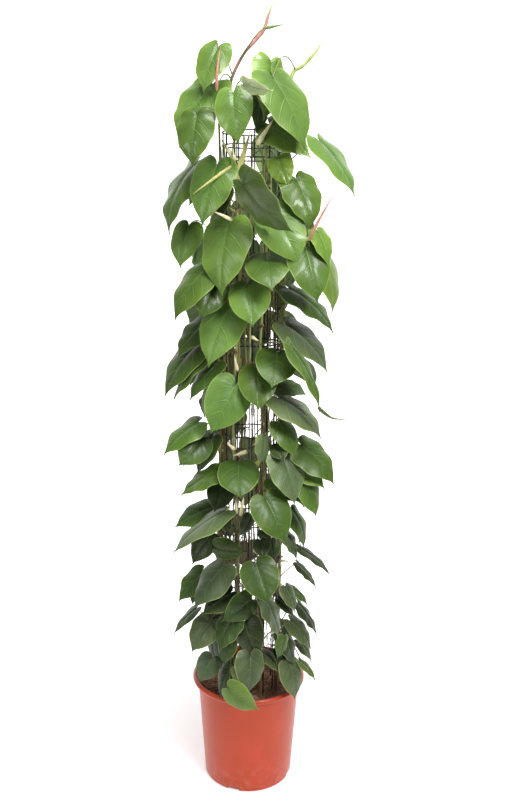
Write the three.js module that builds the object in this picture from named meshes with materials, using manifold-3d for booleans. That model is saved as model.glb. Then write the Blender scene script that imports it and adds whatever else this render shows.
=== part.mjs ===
// A potted heartleaf philodendron: eight leafy stems climb a round wire column that
// stands in the soil of a terracotta-coloured plastic nursery pot.
// Millimetres, +Z up, the origin on the pot's axis at the surface it stands on, front towards -Y.
import * as THREE from "three";
import { mergeVertices } from "three/addons/utils/BufferGeometryUtils.js";
import Module from "manifold-3d";

const wasm = await Module();
wasm.setup();

// Pot
const POT_SIDES = 32;
const POT_FOOT_RADIUS = 101.5;
const POT_WALL_RADIUS = 105;
const POT_WALL_FLARE = 0.07;
const POT_WALL = 3;
const POT_RIM_HEIGHT = 256;
const POT_RIM_RADIUS = 135;
const POT_RIM_INNER_RADIUS = 126.5;
const POT_RIM_LOWER_EDGE = 244;
const POT_RIM_EDGE = 5;
const POT_RIM_ROUNDING = 1.6;
const POT_NECK = 240;
const POT_FOOT_CHAMFER = 2.5;
const FLOOR_TOP = 3;
const NOTCH_WIDTH = 30;
const NOTCH_HEIGHT = 8;
const NOTCH_DEPTH = 24;
const NOTCH_FIRST_ANGLE = -19;
const NOTCH_COUNT = 4;
const DRAIN_HOLE_RADIUS = 6;
const DRAIN_HOLE_PLACE = 78;
const DRAIN_HOLE_SIDES = 10;

// Soil
const SEAT_GAP = 0.35;
const SOIL_TOP = 224;
const SOIL_RINGS = [92, 64, 32];
const SOIL_RELIEF = 2.2;
const SOIL_WAVES = [17, 13, 23];
const SOIL_HOLE_SIDES = 6;

// Wire column
const COLUMN_RADIUS = 66;
const COLUMN_TOP = 1518;
const COLUMN_FOOT = 100;
const WIRE = 3;
const UPRIGHT_COUNT = 12;
const UPRIGHT_FIRST_ANGLE = 3;
const RING_HEIGHTS = [450, 650, 860, 1065, 1260, 1461, 1488, 1515];

// Climbing stems
const STEM_FIRST_ANGLE = 20;
const STEM_PLACE = 76;
const STEM_FOOT = 150;
const STEM_STRAIGHT_TO = 245;
const STEM_STEP = 100;
const STEM_SIDES = 4;
const STEM_FOOT_RADIUS = 4.6;
const STEM_TOP_RADIUS = 3;
const STEM_SWAY = 5;
const STEM_SWAY_LENGTH = 95;
const STEM_TOPS = [1560, 1530, 1535, 1500, 1525, 1495, 1545, 1530];
const SPEAR_TIP_RADIUS = 0.8;

// The viewers that the leaves are laid out for. Each one's sight plane is the upright plane
// through the pot's axis, and side is the way from that plane to the viewer along Y.
const FRONT = { side: -1, x: 5, z: 1333, distance: 1884 };
const BACK = { side: 1, x: 0, z: 1333, distance: 1884 };

// Growing ends above the column, by stem, as across, up and nearness to the front viewer.
const SHOOTS = {
  1: [[74, 1580, 26], [77, 1615, 23], [85, 1640, 20], [100, 1648, 20], [114, 1661, 20], [131, 1680, 20],
    [145, 1702, 20]],
  7: [[-44, 1570, 50], [-47, 1606, 40], [-46, 1623, 36], [-33, 1652, 30], [-17, 1678, 25], [3, 1700, 20],
    [17, 1715, 20], [24, 1728, 20], [29, 1746, 20], [36, 1765, 20], [42, 1778, 20]],
};

// Leaves as the front viewer sees them on the sight plane, innermost first: where the stalk
// meets the blade (across, up), the tip (across, up), and the seen width.
const LEAVES_ROUND_RIM = [
  [-40, 275, -70, 184, 50], [-30, 262, -14, 214, 34], [-88, 355, -69, 266, 38], [-50, 350, -62, 270, 48],
  [-90, 291, -119, 226, 58], [35, 305, 77, 252, 30], [75, 312, 92, 240, 34], [100, 277, 114, 180, 54],
  [-10, 385, 25, 290, 72], [4, 297, -2, 195, 70], [-48, 206, 26, 150, 56], [80, 360, 107, 273, 42],
  [85, 345, 70, 289, 28], [120, 338, 152, 284, 24], [127, 283, 164, 233, 18],
];
const LEAVES_LOW = [
  [-82, 400, -92, 340, 40], [-92, 388, -140, 307, 70], [-38, 400, -76, 310, 62], [-128, 420, -183, 352, 22],
  [101, 390, 152, 316, 40], [119, 435, 166, 353, 24], [73, 447, 110, 400, 26], [-45, 462, -114, 404, 56],
  [2, 442, -66, 388, 62], [40, 447, 73, 344, 40], [95, 478, 142, 430, 20], [88, 476, 111, 413, 33],
  [-120, 490, -138, 430, 36], [-113, 512, -170, 436, 54], [-64, 527, -131, 418, 72],
  [116, 536, 160, 476, 19], [28, 620, 50, 592, 32], [50, 596, 57, 545, 42], [26, 594, 34, 549, 42],
  [15, 535, 50, 436, 92], [86, 612, 113, 548, 30], [122, 575, 195, 507, 20],
];
const LEAVES_BELOW_MIDDLE = [
  [-95, 606, -136, 532, 58], [-78, 574, -6, 566, 50], [2, 652, -24, 604, 32], [-60, 650, -51, 611, 30],
  [102, 668, 129, 576, 36], [-90, 676, -176, 622, 58], [-62, 664, -185, 558, 42], [-62, 738, -82, 663, 66],
  [55, 745, 145, 683, 50], [37, 698, 83, 585, 90],
];
const LEAVES_ABOVE_MIDDLE = [
  [126, 750, 154, 652, 54], [104, 780, 177, 726, 54], [-70, 768, -163, 702, 46],
  [-28, 784, -26, 698, 96], [75, 800, 105, 683, 78], [62, 829, 76, 790, 44], [33, 842, 20, 780, 36],
  [-88, 845, -123, 754, 46], [-112, 842, -162, 773, 76], [-122, 878, -202, 800, 50],
  [118, 828, 199, 736, 72], [68, 878, 106, 798, 54], [66, 938, 166, 844, 58], [68, 968, 128, 948, 38],
  [-94, 944, -86, 868, 42],
];
const LEAVES_HIGH = [
  [-80, 1015, -140, 930, 42], [-100, 1055, -175, 926, 36], [-120, 1062, -196, 937, 60],
  [-36, 968, -92, 853, 104], [14, 1005, 18, 910, 88], [-105, 1110, -168, 1029, 52],
  [-53, 1142, -98, 1007, 98], [61, 1044, 49, 963, 95], [80, 1105, 178, 1001, 60], [90, 1056, 163, 908, 28],
  [-112, 1290, -122, 1218, 30], [-80, 1202, -114, 1120, 78], [-106, 1226, -172, 1112, 66],
  [-9, 1195, 5, 1103, 92], [84, 1186, 186, 1088, 46], [31, 1262, 46, 1182, 100], [147, 1278, 184, 1130, 54],
  [118, 1274, 146, 1154, 92], [144, 1310, 165, 1236, 42], [-139, 1319, -160, 1228, 66],
  [-54, 1323, -69, 1167, 106], [43, 1352, 108, 1238, 102],
];
const LEAVES_ROUND_COLUMN_TOP = [
  [-62, 1400, -70, 1335, 40], [-22, 1411, 88, 1305, 74], [95, 1421, 133, 1313, 80],
  [-122, 1452, -190, 1302, 54], [-78, 1449, -107, 1318, 92], [54, 1464, 76, 1404, 56],
  [144, 1500, 222, 1384, 46], [36, 1534, 124, 1462, 66],
];
const LEAVES_CROWN = [
  [16, 1588, 6, 1514, 42], [38, 1656, 26, 1540, 76], [-88, 1613, -162, 1485, 84],
  [-120, 1553, -131, 1444, 80], [-43, 1596, -33, 1491, 82], [42, 1628, 106, 1478, 90],
  [-75, 1687, -110, 1597, 66], [-20, 1612, 42, 1600, 30],
];
const LEAVES = [
  ...LEAVES_ROUND_RIM, ...LEAVES_LOW, ...LEAVES_BELOW_MIDDLE, ...LEAVES_ABOVE_MIDDLE,
  ...LEAVES_HIGH, ...LEAVES_ROUND_COLUMN_TOP, ...LEAVES_CROWN,
];

// Papery sheaths and rolled young leaves, read the same way.
const SHEATHS = [
  [-40, 651, -62, 690, 12], [-31, 660, -31, 697, 9], [-22, 655, -14, 704, 12],
  [10, 572, 32, 550, 12], [-8, 811, -39, 798, 14], [-36, 815, -52, 832, 12], [34, 843, 2, 828, 10],
  [24, 792, -22, 736, 14], [40, 950, 74, 952, 9], [-30, 1000, -42, 1035, 10], [0, 1078, 17, 1066, 10],
  [-39, 1413, -5, 1512, 20], [-36, 1457, -70, 1498, 15], [22, 1724, 64, 1731, 9],
];
const OUTER_SHEATHS = [
  [-44, 1332, -82, 1353, 10], [-45, 1446, -131, 1389, 9], [9, 1490, 42, 1544, 14], [-77, 1600, -79, 1690, 9],
  [124, 1290, 171, 1397, 9],
];

// Blade form
const BLADE_THICKNESS = 0.8;
const BLADE_SLENDERNESS = 0.8;
const BLADE_LEAN = 0.2;
const BLADE_LEAN_LIMIT = 1.2;
const TURN_LIMIT = 65;
const ARCH = [0.05, 0.1];
const CUP = [0.05, 0.12];
const LEAF_REACH = 104;
const SHEATH_REACH = 92;
const LAYER_GAP = 5;
const SLIVER = 0.01;
const WELD = 0.0001;
const HEART = [[0, 0], [-0.15, 0.2], [0.02, 0.47], [0.42, 0.46], [0.8, 0.17], [1, 0]];
const ROUND_HEART = [[0, 0], [-0.13, 0.22], [0.05, 0.49], [0.52, 0.47], [0.86, 0.26], [1, 0]];
const ROUND_FROM = 0.7;
const ROUND_TO = 1;
const LANCE = [[0, 0], [0.05, 0.16], [0.25, 0.45], [0.55, 0.45], [0.85, 0.18], [1, 0]];
const MIDRIB = [[0.4, 0]];
const COLLAR = [[0.035, -0.03], [0.035, 0.03]];
const OUTLINE_CORNERS = 10;
const MIDDLE = 10;
const HALF_FACES = [[0, 2, 1], [0, MIDDLE, 2], [MIDDLE, 3, 2], [MIDDLE, 4, 3], [MIDDLE, 5, 4]];
const SHEATH_SPANS = [[0, 0.3], [0.35, 1], [1, 0.08]];
const SHEATH_THICKNESS = 1.6;

// Stalks between stem and blade
const STALK_RADIUS = 1.5;
const STALK_TIP_RADIUS = 1;
const STALK_STEPS = 2;
const STALK_DROPS = [50, 30, 70, 10, 90, -10, 110, -30, 130];
const STALK_LIFTS = [15, 35, -5, 60];
const STALK_PUSHES = [0, 25, 50, 80];
const STALK_BOW = 0.6;
const STALK_LEVEL = 0.4;
const STALK_SAMPLE = 3;
const STALK_CLEARANCE = 3.4;
const STALK_SPACING = 4.6;
const STALK_OWN_REACH = 9;
const STALK_OWN_CLEARANCE = 2.2;
const STEMS_TRIED = 4;
const LEAF_SURROUND = 1.3;
const STEM_CLEARANCE = 7.5;
const COLUMN_CLEARANCE = 70.5;
const LOWEST_NODE = 250;

// Leaves of the side turned away from the front viewer
const SEED = 20411;
const FAR_ROWS = 15;
const FAR_ROW_FOOT = 330;
const FAR_ROW_STEP = 86;
const FAR_PLACES = [-100, -52, -4, 44, 92];
const FAR_JITTER = 16;
const FAR_FAN = 0.0055;
const FAR_LENGTH = [92, 128];
const FAR_LENGTH_SPREAD = [0.85, 1.1];
const FAR_SLENDERNESS = [0.55, 0.85];
const FAR_ANGLE_SPREAD = 0.3;
const FAR_HIDDEN_SHARE = 0.8;
const FAR_DEPTH_LIMIT = 190;
// Places where daylight shows through the column: across, up and radius on the sight plane.
const WINDOWS = [
  [38, 905, 26], [66, 836, 22], [30, 640, 18], [24, 405, 20], [54, 315, 10],
  [-50, 465, 18], [72, 430, 14], [-17, 1462, 18], [-79, 1483, 14], [-133, 1336, 18],
];

const radians = (degrees) => degrees * Math.PI / 180;
const blend = (pair, share) => pair[0] + (pair[1] - pair[0]) * share;

// A repeatable row of draws between 0 and 1.
function makeDraws(seed) {
  const factor = 48271;
  const modulus = 2147483647;
  let state = seed;
  return () => {
    state = (state * factor) % modulus;
    return state / modulus;
  };
}

// Turns a three.js geometry into a closed solid whose corners are shared.
function solidOf(geometry) {
  const bare = new THREE.BufferGeometry();
  bare.setAttribute("position", geometry.getAttribute("position"));
  bare.setIndex(geometry.getIndex());
  const merged = mergeVertices(bare, WELD);
  const vertProperties = new Float32Array(merged.getAttribute("position").array);
  const triVerts = new Uint32Array(merged.getIndex().array);
  return new wasm.Manifold(new wasm.Mesh({ numProp: 3, vertProperties, triVerts }));
}

// A plain mesh from points and faces given by hand or by rule.
function geometryOf(points, faces) {
  const geometry = new THREE.BufferGeometry();
  const places = points.flatMap((point) => point.toArray());
  geometry.setAttribute("position", new THREE.Float32BufferAttribute(places, 3));
  geometry.setIndex(faces.flat());
  return geometry;
}

function meshOf(name, solid, material) {
  const { vertProperties, triVerts } = solid.getMesh();
  const geometry = new THREE.BufferGeometry();
  geometry.setAttribute("position", new THREE.BufferAttribute(vertProperties, 3));
  geometry.setIndex(new THREE.BufferAttribute(triVerts, 1));
  geometry.computeVertexNormals();
  const mesh = new THREE.Mesh(geometry, material);
  mesh.name = name;
  return mesh;
}

const fuse = (solids) => solids.reduce((whole, piece) => whole.add(piece));

// A point at an angle round the axis, counted from the front towards +X.
function around(radius, degrees, height) {
  const angle = radians(degrees);
  return new THREE.Vector3(radius * Math.sin(angle), -radius * Math.cos(angle), height);
}

// The faces over a row of rings that each have the same number of corners.
function ringFaces(ringCount, sides, first) {
  const faces = [];
  for (let corner = 0; corner < ringCount * sides; corner += 1) {
    const side = corner % sides;
    const a = first + corner;
    const b = first + corner - side + (side + 1) % sides;
    faces.push([a, b, b + sides], [a, b + sides, a + sides]);
  }
  return faces;
}

// A closed body over a row of rings.
function skinOver(rings) {
  const sides = rings[0].length;
  const faces = ringFaces(rings.length - 1, sides, 0);
  const last = (rings.length - 1) * sides;
  for (let side = 1; side < sides - 1; side += 1) {
    faces.push([0, side + 1, side], [last, last + side, last + side + 1]);
  }
  return solidOf(geometryOf(rings.flat(), faces));
}

// Turns a ring's spokes as the line they follow turns, so that the tube isn't twisted.
function turnSpokes(spokes, from, to) {
  const turn = new THREE.Quaternion().setFromUnitVectors(from, to);
  return spokes.map((spoke) => spoke.clone().applyQuaternion(turn));
}

const ringAt = (point, spokes, radius) => spokes.map((spoke) => point.clone().addScaledVector(spoke, radius));

// The rings of a tapered tube along a line, its first spokes square to a first direction.
function ringsAlong(line, radii, firstSpokes, firstAlong) {
  let spokes = firstSpokes;
  let direction = firstAlong;
  return line.map((point, index) => {
    const before = line[Math.max(index - 1, 0)];
    const after = line[Math.min(index + 1, line.length - 1)];
    const along = after.clone().sub(before).normalize();
    spokes = turnSpokes(spokes, direction, along);
    direction = along;
    return ringAt(point, spokes, radii[index]);
  });
}

// The pot: a flared wall with a rolled rim, a flat floor with drain holes, and a notched foot.
const wallRadius = (height) => POT_WALL_RADIUS + POT_WALL_FLARE * height;

function makePot() {
  const rimMiddle = (POT_RIM_HEIGHT + POT_RIM_LOWER_EDGE) / 2;
  const profile = [
    [0, 0], [POT_FOOT_RADIUS, 0], [wallRadius(POT_FOOT_CHAMFER), POT_FOOT_CHAMFER],
    [wallRadius(POT_NECK), POT_NECK], [POT_RIM_RADIUS - POT_RIM_EDGE, POT_RIM_LOWER_EDGE],
    [POT_RIM_RADIUS, rimMiddle], [POT_RIM_RADIUS - POT_RIM_ROUNDING, POT_RIM_HEIGHT - POT_RIM_ROUNDING],
    [POT_RIM_RADIUS - POT_RIM_EDGE, POT_RIM_HEIGHT],
    [POT_RIM_INNER_RADIUS, POT_RIM_HEIGHT - POT_RIM_ROUNDING], [POT_RIM_INNER_RADIUS, rimMiddle],
    [wallRadius(POT_RIM_LOWER_EDGE), POT_RIM_LOWER_EDGE],
    [wallRadius(POT_NECK - POT_WALL) - POT_WALL, POT_NECK - POT_WALL],
    [wallRadius(FLOOR_TOP) - POT_WALL, FLOOR_TOP], [0, FLOOR_TOP],
  ].map(([radius, height]) => new THREE.Vector2(radius, height));
  const lathe = new THREE.LatheGeometry(profile, POT_SIDES);
  lathe.rotateX(Math.PI / 2);
  let pot = solidOf(lathe);
  for (let index = 0; index < NOTCH_COUNT; index += 1) {
    const angle = NOTCH_FIRST_ANGLE + index * 360 / NOTCH_COUNT;
    const notch = new THREE.BoxGeometry(NOTCH_WIDTH, NOTCH_DEPTH, 2 * NOTCH_HEIGHT);
    notch.rotateZ(radians(angle));
    notch.translate(...around(POT_FOOT_RADIUS, angle, 0).toArray());
    const drain = new THREE.CylinderGeometry(
      DRAIN_HOLE_RADIUS, DRAIN_HOLE_RADIUS, 3 * FLOOR_TOP, DRAIN_HOLE_SIDES,
    );
    drain.rotateX(Math.PI / 2);
    drain.translate(...around(DRAIN_HOLE_PLACE, angle, 0).toArray());
    pot = pot.subtract(solidOf(notch)).subtract(solidOf(drain));
  }
  return pot;
}

// The soil: it fills the pot to under the rim, is uneven on top, and has a plain hole for
// each stem and wire.
function makeSoil(stems) {
  const edge = (height) => wallRadius(height) - POT_WALL - SEAT_GAP;
  const foot = FLOOR_TOP + SEAT_GAP;
  const profile = [
    [0, foot], [edge(FLOOR_TOP), foot], [edge(SOIL_TOP), SOIL_TOP],
    ...SOIL_RINGS.map((radius) => [radius, SOIL_TOP]), [0, SOIL_TOP],
  ].map(([radius, height]) => new THREE.Vector2(radius, height));
  const lathe = new THREE.LatheGeometry(profile, POT_SIDES);
  lathe.rotateX(Math.PI / 2);
  const places = lathe.getAttribute("position");
  const [waveX, waveY, waveBoth] = SOIL_WAVES;
  for (let index = 0; index < places.count; index += 1) {
    const x = places.getX(index);
    const y = places.getY(index);
    const isInside = Math.hypot(x, y) < SOIL_RINGS[0] + 1;
    if (isInside && places.getZ(index) > SOIL_TOP / 2) {
      const relief = Math.sin(x / waveX) * Math.cos(y / waveY) + Math.sin((x + y) / waveBoth);
      places.setZ(index, SOIL_TOP + SOIL_RELIEF * relief);
    }
  }
  let soil = solidOf(lathe);
  stems.forEach((stem) => {
    soil = soil.subtract(holeAt(stemPoint(stem, STEM_FOOT), STEM_FOOT, STEM_FOOT_RADIUS));
  });
  for (let index = 0; index < UPRIGHT_COUNT; index += 1) {
    const place = around(COLUMN_RADIUS - WIRE / 2, uprightAngle(index), 0);
    soil = soil.subtract(holeAt(place, COLUMN_FOOT, WIRE * Math.SQRT1_2));
  }
  return soil;
}

function holeAt(place, foot, radius) {
  const clear = (radius + SEAT_GAP) / Math.cos(Math.PI / SOIL_HOLE_SIDES);
  const depth = 2 * (SOIL_TOP - foot);
  const hole = new THREE.CylinderGeometry(clear, clear, depth, SOIL_HOLE_SIDES);
  hole.rotateX(Math.PI / 2);
  hole.translate(place.x, place.y, foot - SEAT_GAP + depth / 2);
  return solidOf(hole);
}

// The wire column: upright wires welded to a row of rings.
const uprightAngle = (index) => UPRIGHT_FIRST_ANGLE + index * 360 / UPRIGHT_COUNT;

function makeColumn() {
  const half = WIRE / 2;
  const halfStep = 180 / UPRIGHT_COUNT;
  const corner = 1 / Math.cos(radians(halfStep));
  const pieces = RING_HEIGHTS.map((height) => {
    const section = [[half, -half], [half, half], [-half, half], [-half, -half], [half, -half]]
      .map(([out, up]) => new THREE.Vector2((COLUMN_RADIUS + out) * corner, up));
    const ring = new THREE.LatheGeometry(section, UPRIGHT_COUNT);
    ring.rotateX(Math.PI / 2);
    ring.rotateZ(radians(UPRIGHT_FIRST_ANGLE + halfStep));
    ring.translate(0, 0, height);
    return solidOf(ring);
  });
  const length = COLUMN_TOP - COLUMN_FOOT;
  for (let index = 0; index < UPRIGHT_COUNT; index += 1) {
    const upright = new THREE.BoxGeometry(WIRE, WIRE, length);
    upright.rotateZ(radians(uprightAngle(index)));
    const place = around(COLUMN_RADIUS - half, uprightAngle(index), COLUMN_FOOT + length / 2);
    upright.translate(...place.toArray());
    pieces.push(solidOf(upright));
  }
  return fuse(pieces);
}

// Climbing stems, evenly spaced round the outside of the column.
function makeStems() {
  return STEM_TOPS.map((top, index) => ({
    index,
    top,
    azimuth: STEM_FIRST_ANGLE + index * 360 / STEM_TOPS.length,
    shoot: (SHOOTS[index] ?? []).map(([x, z, depth]) => seenPoint(FRONT, x, z, depth)),
  }));
}

// The middle of a stem at a height.
function stemPoint(stem, height) {
  if (stem.shoot.length > 0 && height > stem.top) {
    const line = [stemPoint(stem, stem.top), ...stem.shoot];
    const next = line.findIndex((point) => point.z >= height);
    const upper = next < 0 ? line.length - 1 : next;
    const low = line[upper - 1];
    const high = line[upper];
    return low.clone().lerp(high, Math.min((height - low.z) / (high.z - low.z), 1));
  }
  const climbed = Math.max(height, STEM_STRAIGHT_TO);
  const sway = STEM_SWAY * Math.sin(climbed / STEM_SWAY_LENGTH + 2 * stem.index);
  return around(STEM_PLACE, stem.azimuth + sway, height);
}

const stemHighest = (stem) => (stem.shoot.length > 0 ? stem.shoot.at(-1).z : stem.top);

function stemSolid(stem) {
  const heights = [STEM_FOOT];
  for (let height = STEM_STRAIGHT_TO; height < stem.top - STEM_STEP / 3; height += STEM_STEP) {
    heights.push(height);
  }
  heights.push(stem.top);
  const line = [...heights.map((height) => stemPoint(stem, height)), ...stem.shoot];
  const radii = line.map((point) => {
    const share = Math.min((point.z - STEM_FOOT) / (stem.top - STEM_FOOT), 1);
    return blend([STEM_FOOT_RADIUS, STEM_TOP_RADIUS], share);
  });
  if (stem.shoot.length > 0) {
    radii[radii.length - 1] = SPEAR_TIP_RADIUS;
  }
  const spokes = Array.from({ length: STEM_SIDES }, (_, side) => {
    const angle = 2 * Math.PI * side / STEM_SIDES;
    return new THREE.Vector3(Math.cos(angle), Math.sin(angle), 0);
  });
  return skinOver(ringsAlong(line, radii, spokes, new THREE.Vector3(0, 0, 1)));
}

// What a viewer sees at x, z of the sight plane, brought nearer by a depth.
function seenPoint(viewer, x, z, depth) {
  const share = depth / viewer.distance;
  return new THREE.Vector3(x + (viewer.x - x) * share, viewer.side * depth, z + (viewer.z - z) * share);
}

// A point's place on a viewer's sight plane, with its nearness, which is 1 on the plane.
function sighted(viewer, point) {
  const share = viewer.side * point.y / viewer.distance;
  const near = 1 / (1 - share);
  return [(point.x - viewer.x * share) * near, (point.z - viewer.z * share) * near, near];
}

const eyeOf = (viewer) => new THREE.Vector3(viewer.x, viewer.side * viewer.distance, viewer.z);

// How far along the blade's own normal a place of the blade lies.
function bend(leaf, u, v) {
  return leaf.length * leaf.arch * 4 * u * (1 - u) - leaf.width * leaf.cup * 4 * v * v;
}

function bladePoint(leaf, u, v) {
  return leaf.base.clone()
    .addScaledVector(leaf.along, leaf.length * u)
    .addScaledVector(leaf.across, leaf.width * v)
    .addScaledVector(leaf.normal, bend(leaf, u, v));
}

// Both halves of a blade's outline in one round, then the place on its midrib.
function bladePlaces(outline) {
  const left = outline.slice(1, -1).reverse().map(([u, v]) => [u, -v]);
  return [...outline, ...left, ...MIDRIB];
}

const HEART_PLACES = bladePlaces(HEART);
const ROUND_PLACES = bladePlaces(ROUND_HEART);
const LANCE_PLACES = bladePlaces(LANCE);

// The other half's faces are the first half's, mirrored.
const mirrored = (corner) => (corner % OUTLINE_CORNERS > 0 ? OUTLINE_CORNERS - corner : corner);
const bothHalves = (faces) => [...faces, ...faces.map(([a, b, c]) => [c, b, a].map(mirrored))];
const BLADE_FACES = bothHalves(HALF_FACES);

// The more a leaf points at its viewer, the rounder it looks.
function heartPlaces(roundness) {
  return HEART_PLACES.map(([u, v], index) => {
    const [roundU, roundV] = ROUND_PLACES[index];
    return [blend([u, roundU], roundness), blend([v, roundV], roundness)];
  });
}

// A leaf from its table row: how long it is and how it leans and turns follow from the seen
// length and width, because all blades are about equally slender.
function makeLeaf(viewer, row, isLeaf, draw) {
  const [baseX, baseZ, tipX, tipZ, seenWidth] = row;
  const seenLength = Math.hypot(tipX - baseX, tipZ - baseZ);
  const reach = isLeaf ? LEAF_REACH : SHEATH_REACH;
  const depth = Math.sqrt(Math.max(reach * reach - baseX * baseX, 0));
  const fullLength = Math.max(seenLength, seenWidth / BLADE_SLENDERNESS);
  const foreshortened = Math.sqrt(fullLength ** 2 - seenLength ** 2);
  const lean = Math.min(Math.max(foreshortened, BLADE_LEAN * seenLength), BLADE_LEAN_LIMIT * seenLength);
  const base = seenPoint(viewer, baseX, baseZ, depth);
  const tip = seenPoint(viewer, tipX, tipZ, depth + (isLeaf ? lean : 0));
  const along = tip.clone().sub(base).normalize();
  const towards = eyeOf(viewer).sub(base).normalize();
  const facing = towards.clone().addScaledVector(along, -towards.dot(along)).normalize();
  const sideways = along.clone().cross(facing);
  const slenderWidth = isLeaf ? BLADE_SLENDERNESS * seenLength : seenWidth;
  const turn = Math.min(Math.acos(Math.min(seenWidth / slenderWidth, 1)), radians(TURN_LIMIT));
  const outward = Math.sign(sideways.x * baseX) || 1;
  const across = sideways.clone().multiplyScalar(Math.cos(turn))
    .addScaledVector(facing, -outward * Math.sin(turn));
  const leaf = { isLeaf, viewer, base, along, across };
  leaf.length = base.distanceTo(tip);
  leaf.width = seenWidth / Math.cos(turn) * (1 - depth / viewer.distance);
  leaf.normal = across.clone().cross(along).normalize();
  leaf.arch = isLeaf ? blend(ARCH, draw()) : ARCH[0];
  leaf.cup = isLeaf ? blend(CUP, draw()) : CUP[1];
  const seenShape = seenWidth / seenLength;
  leaf.roundness = THREE.MathUtils.clamp((seenShape - ROUND_FROM) / (ROUND_TO - ROUND_FROM), 0, 1);
  leaf.places = isLeaf ? heartPlaces(leaf.roundness) : LANCE_PLACES;
  leaf.faces = BLADE_FACES;
  leaf.edges = edgesOf(BLADE_FACES);
  settle(leaf);
  return leaf;
}

function settle(leaf) {
  leaf.points = leaf.places.map(([u, v]) => bladePoint(leaf, u, v));
  leaf.seen = new Map();
}

// Moves a leaf straight towards its viewer, who still sees it in the same place and size.
function moveNearer(leaf, factor) {
  leaf.base.sub(eyeOf(leaf.viewer)).divideScalar(factor).add(eyeOf(leaf.viewer));
  leaf.length /= factor;
  leaf.width /= factor;
  settle(leaf);
}

// What no blade may cut: the column, the soil, the rim, and the growing ends above the column.
function makeObstacles(stems) {
  const guard = STEM_PLACE + STEM_FOOT_RADIUS + LAYER_GAP;
  const outer = POT_RIM_RADIUS + LAYER_GAP / 2;
  const above = POT_RIM_HEIGHT + LAYER_GAP / 2;
  return [
    band([guard, SOIL_TOP], [guard, COLUMN_TOP]),
    band([0, SOIL_TOP + LAYER_GAP], [POT_RIM_INNER_RADIUS, SOIL_TOP + LAYER_GAP]),
    band([POT_RIM_INNER_RADIUS, SOIL_TOP], [POT_RIM_INNER_RADIUS, above]),
    band([POT_RIM_INNER_RADIUS, above], [outer, above]),
    band([outer, POT_RIM_LOWER_EDGE], [outer, above]),
    band([POT_WALL_RADIUS, 0], [outer, POT_RIM_LOWER_EDGE]),
    ...stems.filter((stem) => stem.shoot.length > 0).map(shootRibbon),
  ];
}

function surfaceOf(points, faces) {
  return { points, faces, edges: edgesOf(faces), seen: new Map() };
}

// A turned surface between two rings, each given by radius and height.
function band([lowRadius, low], [highRadius, high]) {
  const sides = 24;
  const points = [];
  const faces = [];
  for (let side = 0; side < sides; side += 1) {
    const angle = side * 360 / sides;
    points.push(around(lowRadius, angle, low), around(highRadius, angle, high));
    const next = (2 * side + 2) % (2 * sides);
    faces.push([2 * side, next, next + 1], [2 * side, next + 1, 2 * side + 1]);
  }
  return surfaceOf(points, faces);
}

function shootRibbon(stem) {
  const points = [];
  const faces = [];
  const half = new THREE.Vector3(2 * STEM_TOP_RADIUS, 0, 0);
  [stemPoint(stem, stem.top), ...stem.shoot].forEach((point, index) => {
    points.push(point.clone().sub(half), point.clone().add(half));
    const corner = 2 * index;
    if (index > 0) {
      faces.push([corner - 2, corner - 1, corner + 1], [corner - 2, corner + 1, corner]);
    }
  });
  return surfaceOf(points, faces);
}

function edgesOf(faces) {
  const edges = new Map();
  faces.forEach((face) => face.forEach((corner, index) => {
    const pair = [corner, face[(index + 1) % 3]].sort((p, q) => p - q);
    edges.set(pair.join(), pair);
  }));
  return [...edges.values()];
}

// A surface as one viewer sees it, worked out once, with its extent.
function seenBy(viewer, surface) {
  if (!surface.seen.has(viewer)) {
    const spots = surface.points.map((point) => sighted(viewer, point));
    const extent = [0, 1].map((axis) => {
      const values = spots.map((spot) => spot[axis]);
      return [Math.min(...values), Math.max(...values)];
    });
    surface.seen.set(viewer, { spots, extent });
  }
  return surface.seen.get(viewer);
}

const apart = (mine, theirs) => [0, 1].some((axis) =>
  mine.extent[axis][1] < theirs.extent[axis][0] || mine.extent[axis][0] > theirs.extent[axis][1]);

// A face's nearness where the viewer sees a given spot, or null beside the face.
function nearnessAt(spots, [a, b, c], [x, z]) {
  const [pa, pb, pc] = [spots[a], spots[b], spots[c]];
  const area = (pb[0] - pa[0]) * (pc[1] - pa[1]) - (pc[0] - pa[0]) * (pb[1] - pa[1]);
  const shareB = ((x - pa[0]) * (pc[1] - pa[1]) - (pc[0] - pa[0]) * (z - pa[1])) / area;
  const shareC = ((pb[0] - pa[0]) * (z - pa[1]) - (x - pa[0]) * (pb[1] - pa[1])) / area;
  const isInside = Math.abs(area) > SLIVER && shareB >= 0 && shareC >= 0 && shareB + shareC <= 1;
  return isInside ? pa[2] + shareB * (pb[2] - pa[2]) + shareC * (pc[2] - pa[2]) : null;
}

// How far along two seen edges they cross, or null.
function crossing(a, b, c, d) {
  const run = [b[0] - a[0], b[1] - a[1]];
  const other = [d[0] - c[0], d[1] - c[1]];
  const gap = [c[0] - a[0], c[1] - a[1]];
  const area = run[0] * other[1] - run[1] * other[0];
  const first = (gap[0] * other[1] - gap[1] * other[0]) / area;
  const second = (gap[0] * run[1] - gap[1] * run[0]) / area;
  const meets = Math.abs(area) > SLIVER && first >= 0 && first <= 1 && second >= 0 && second <= 1;
  return meets ? [first, second] : null;
}

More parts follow.
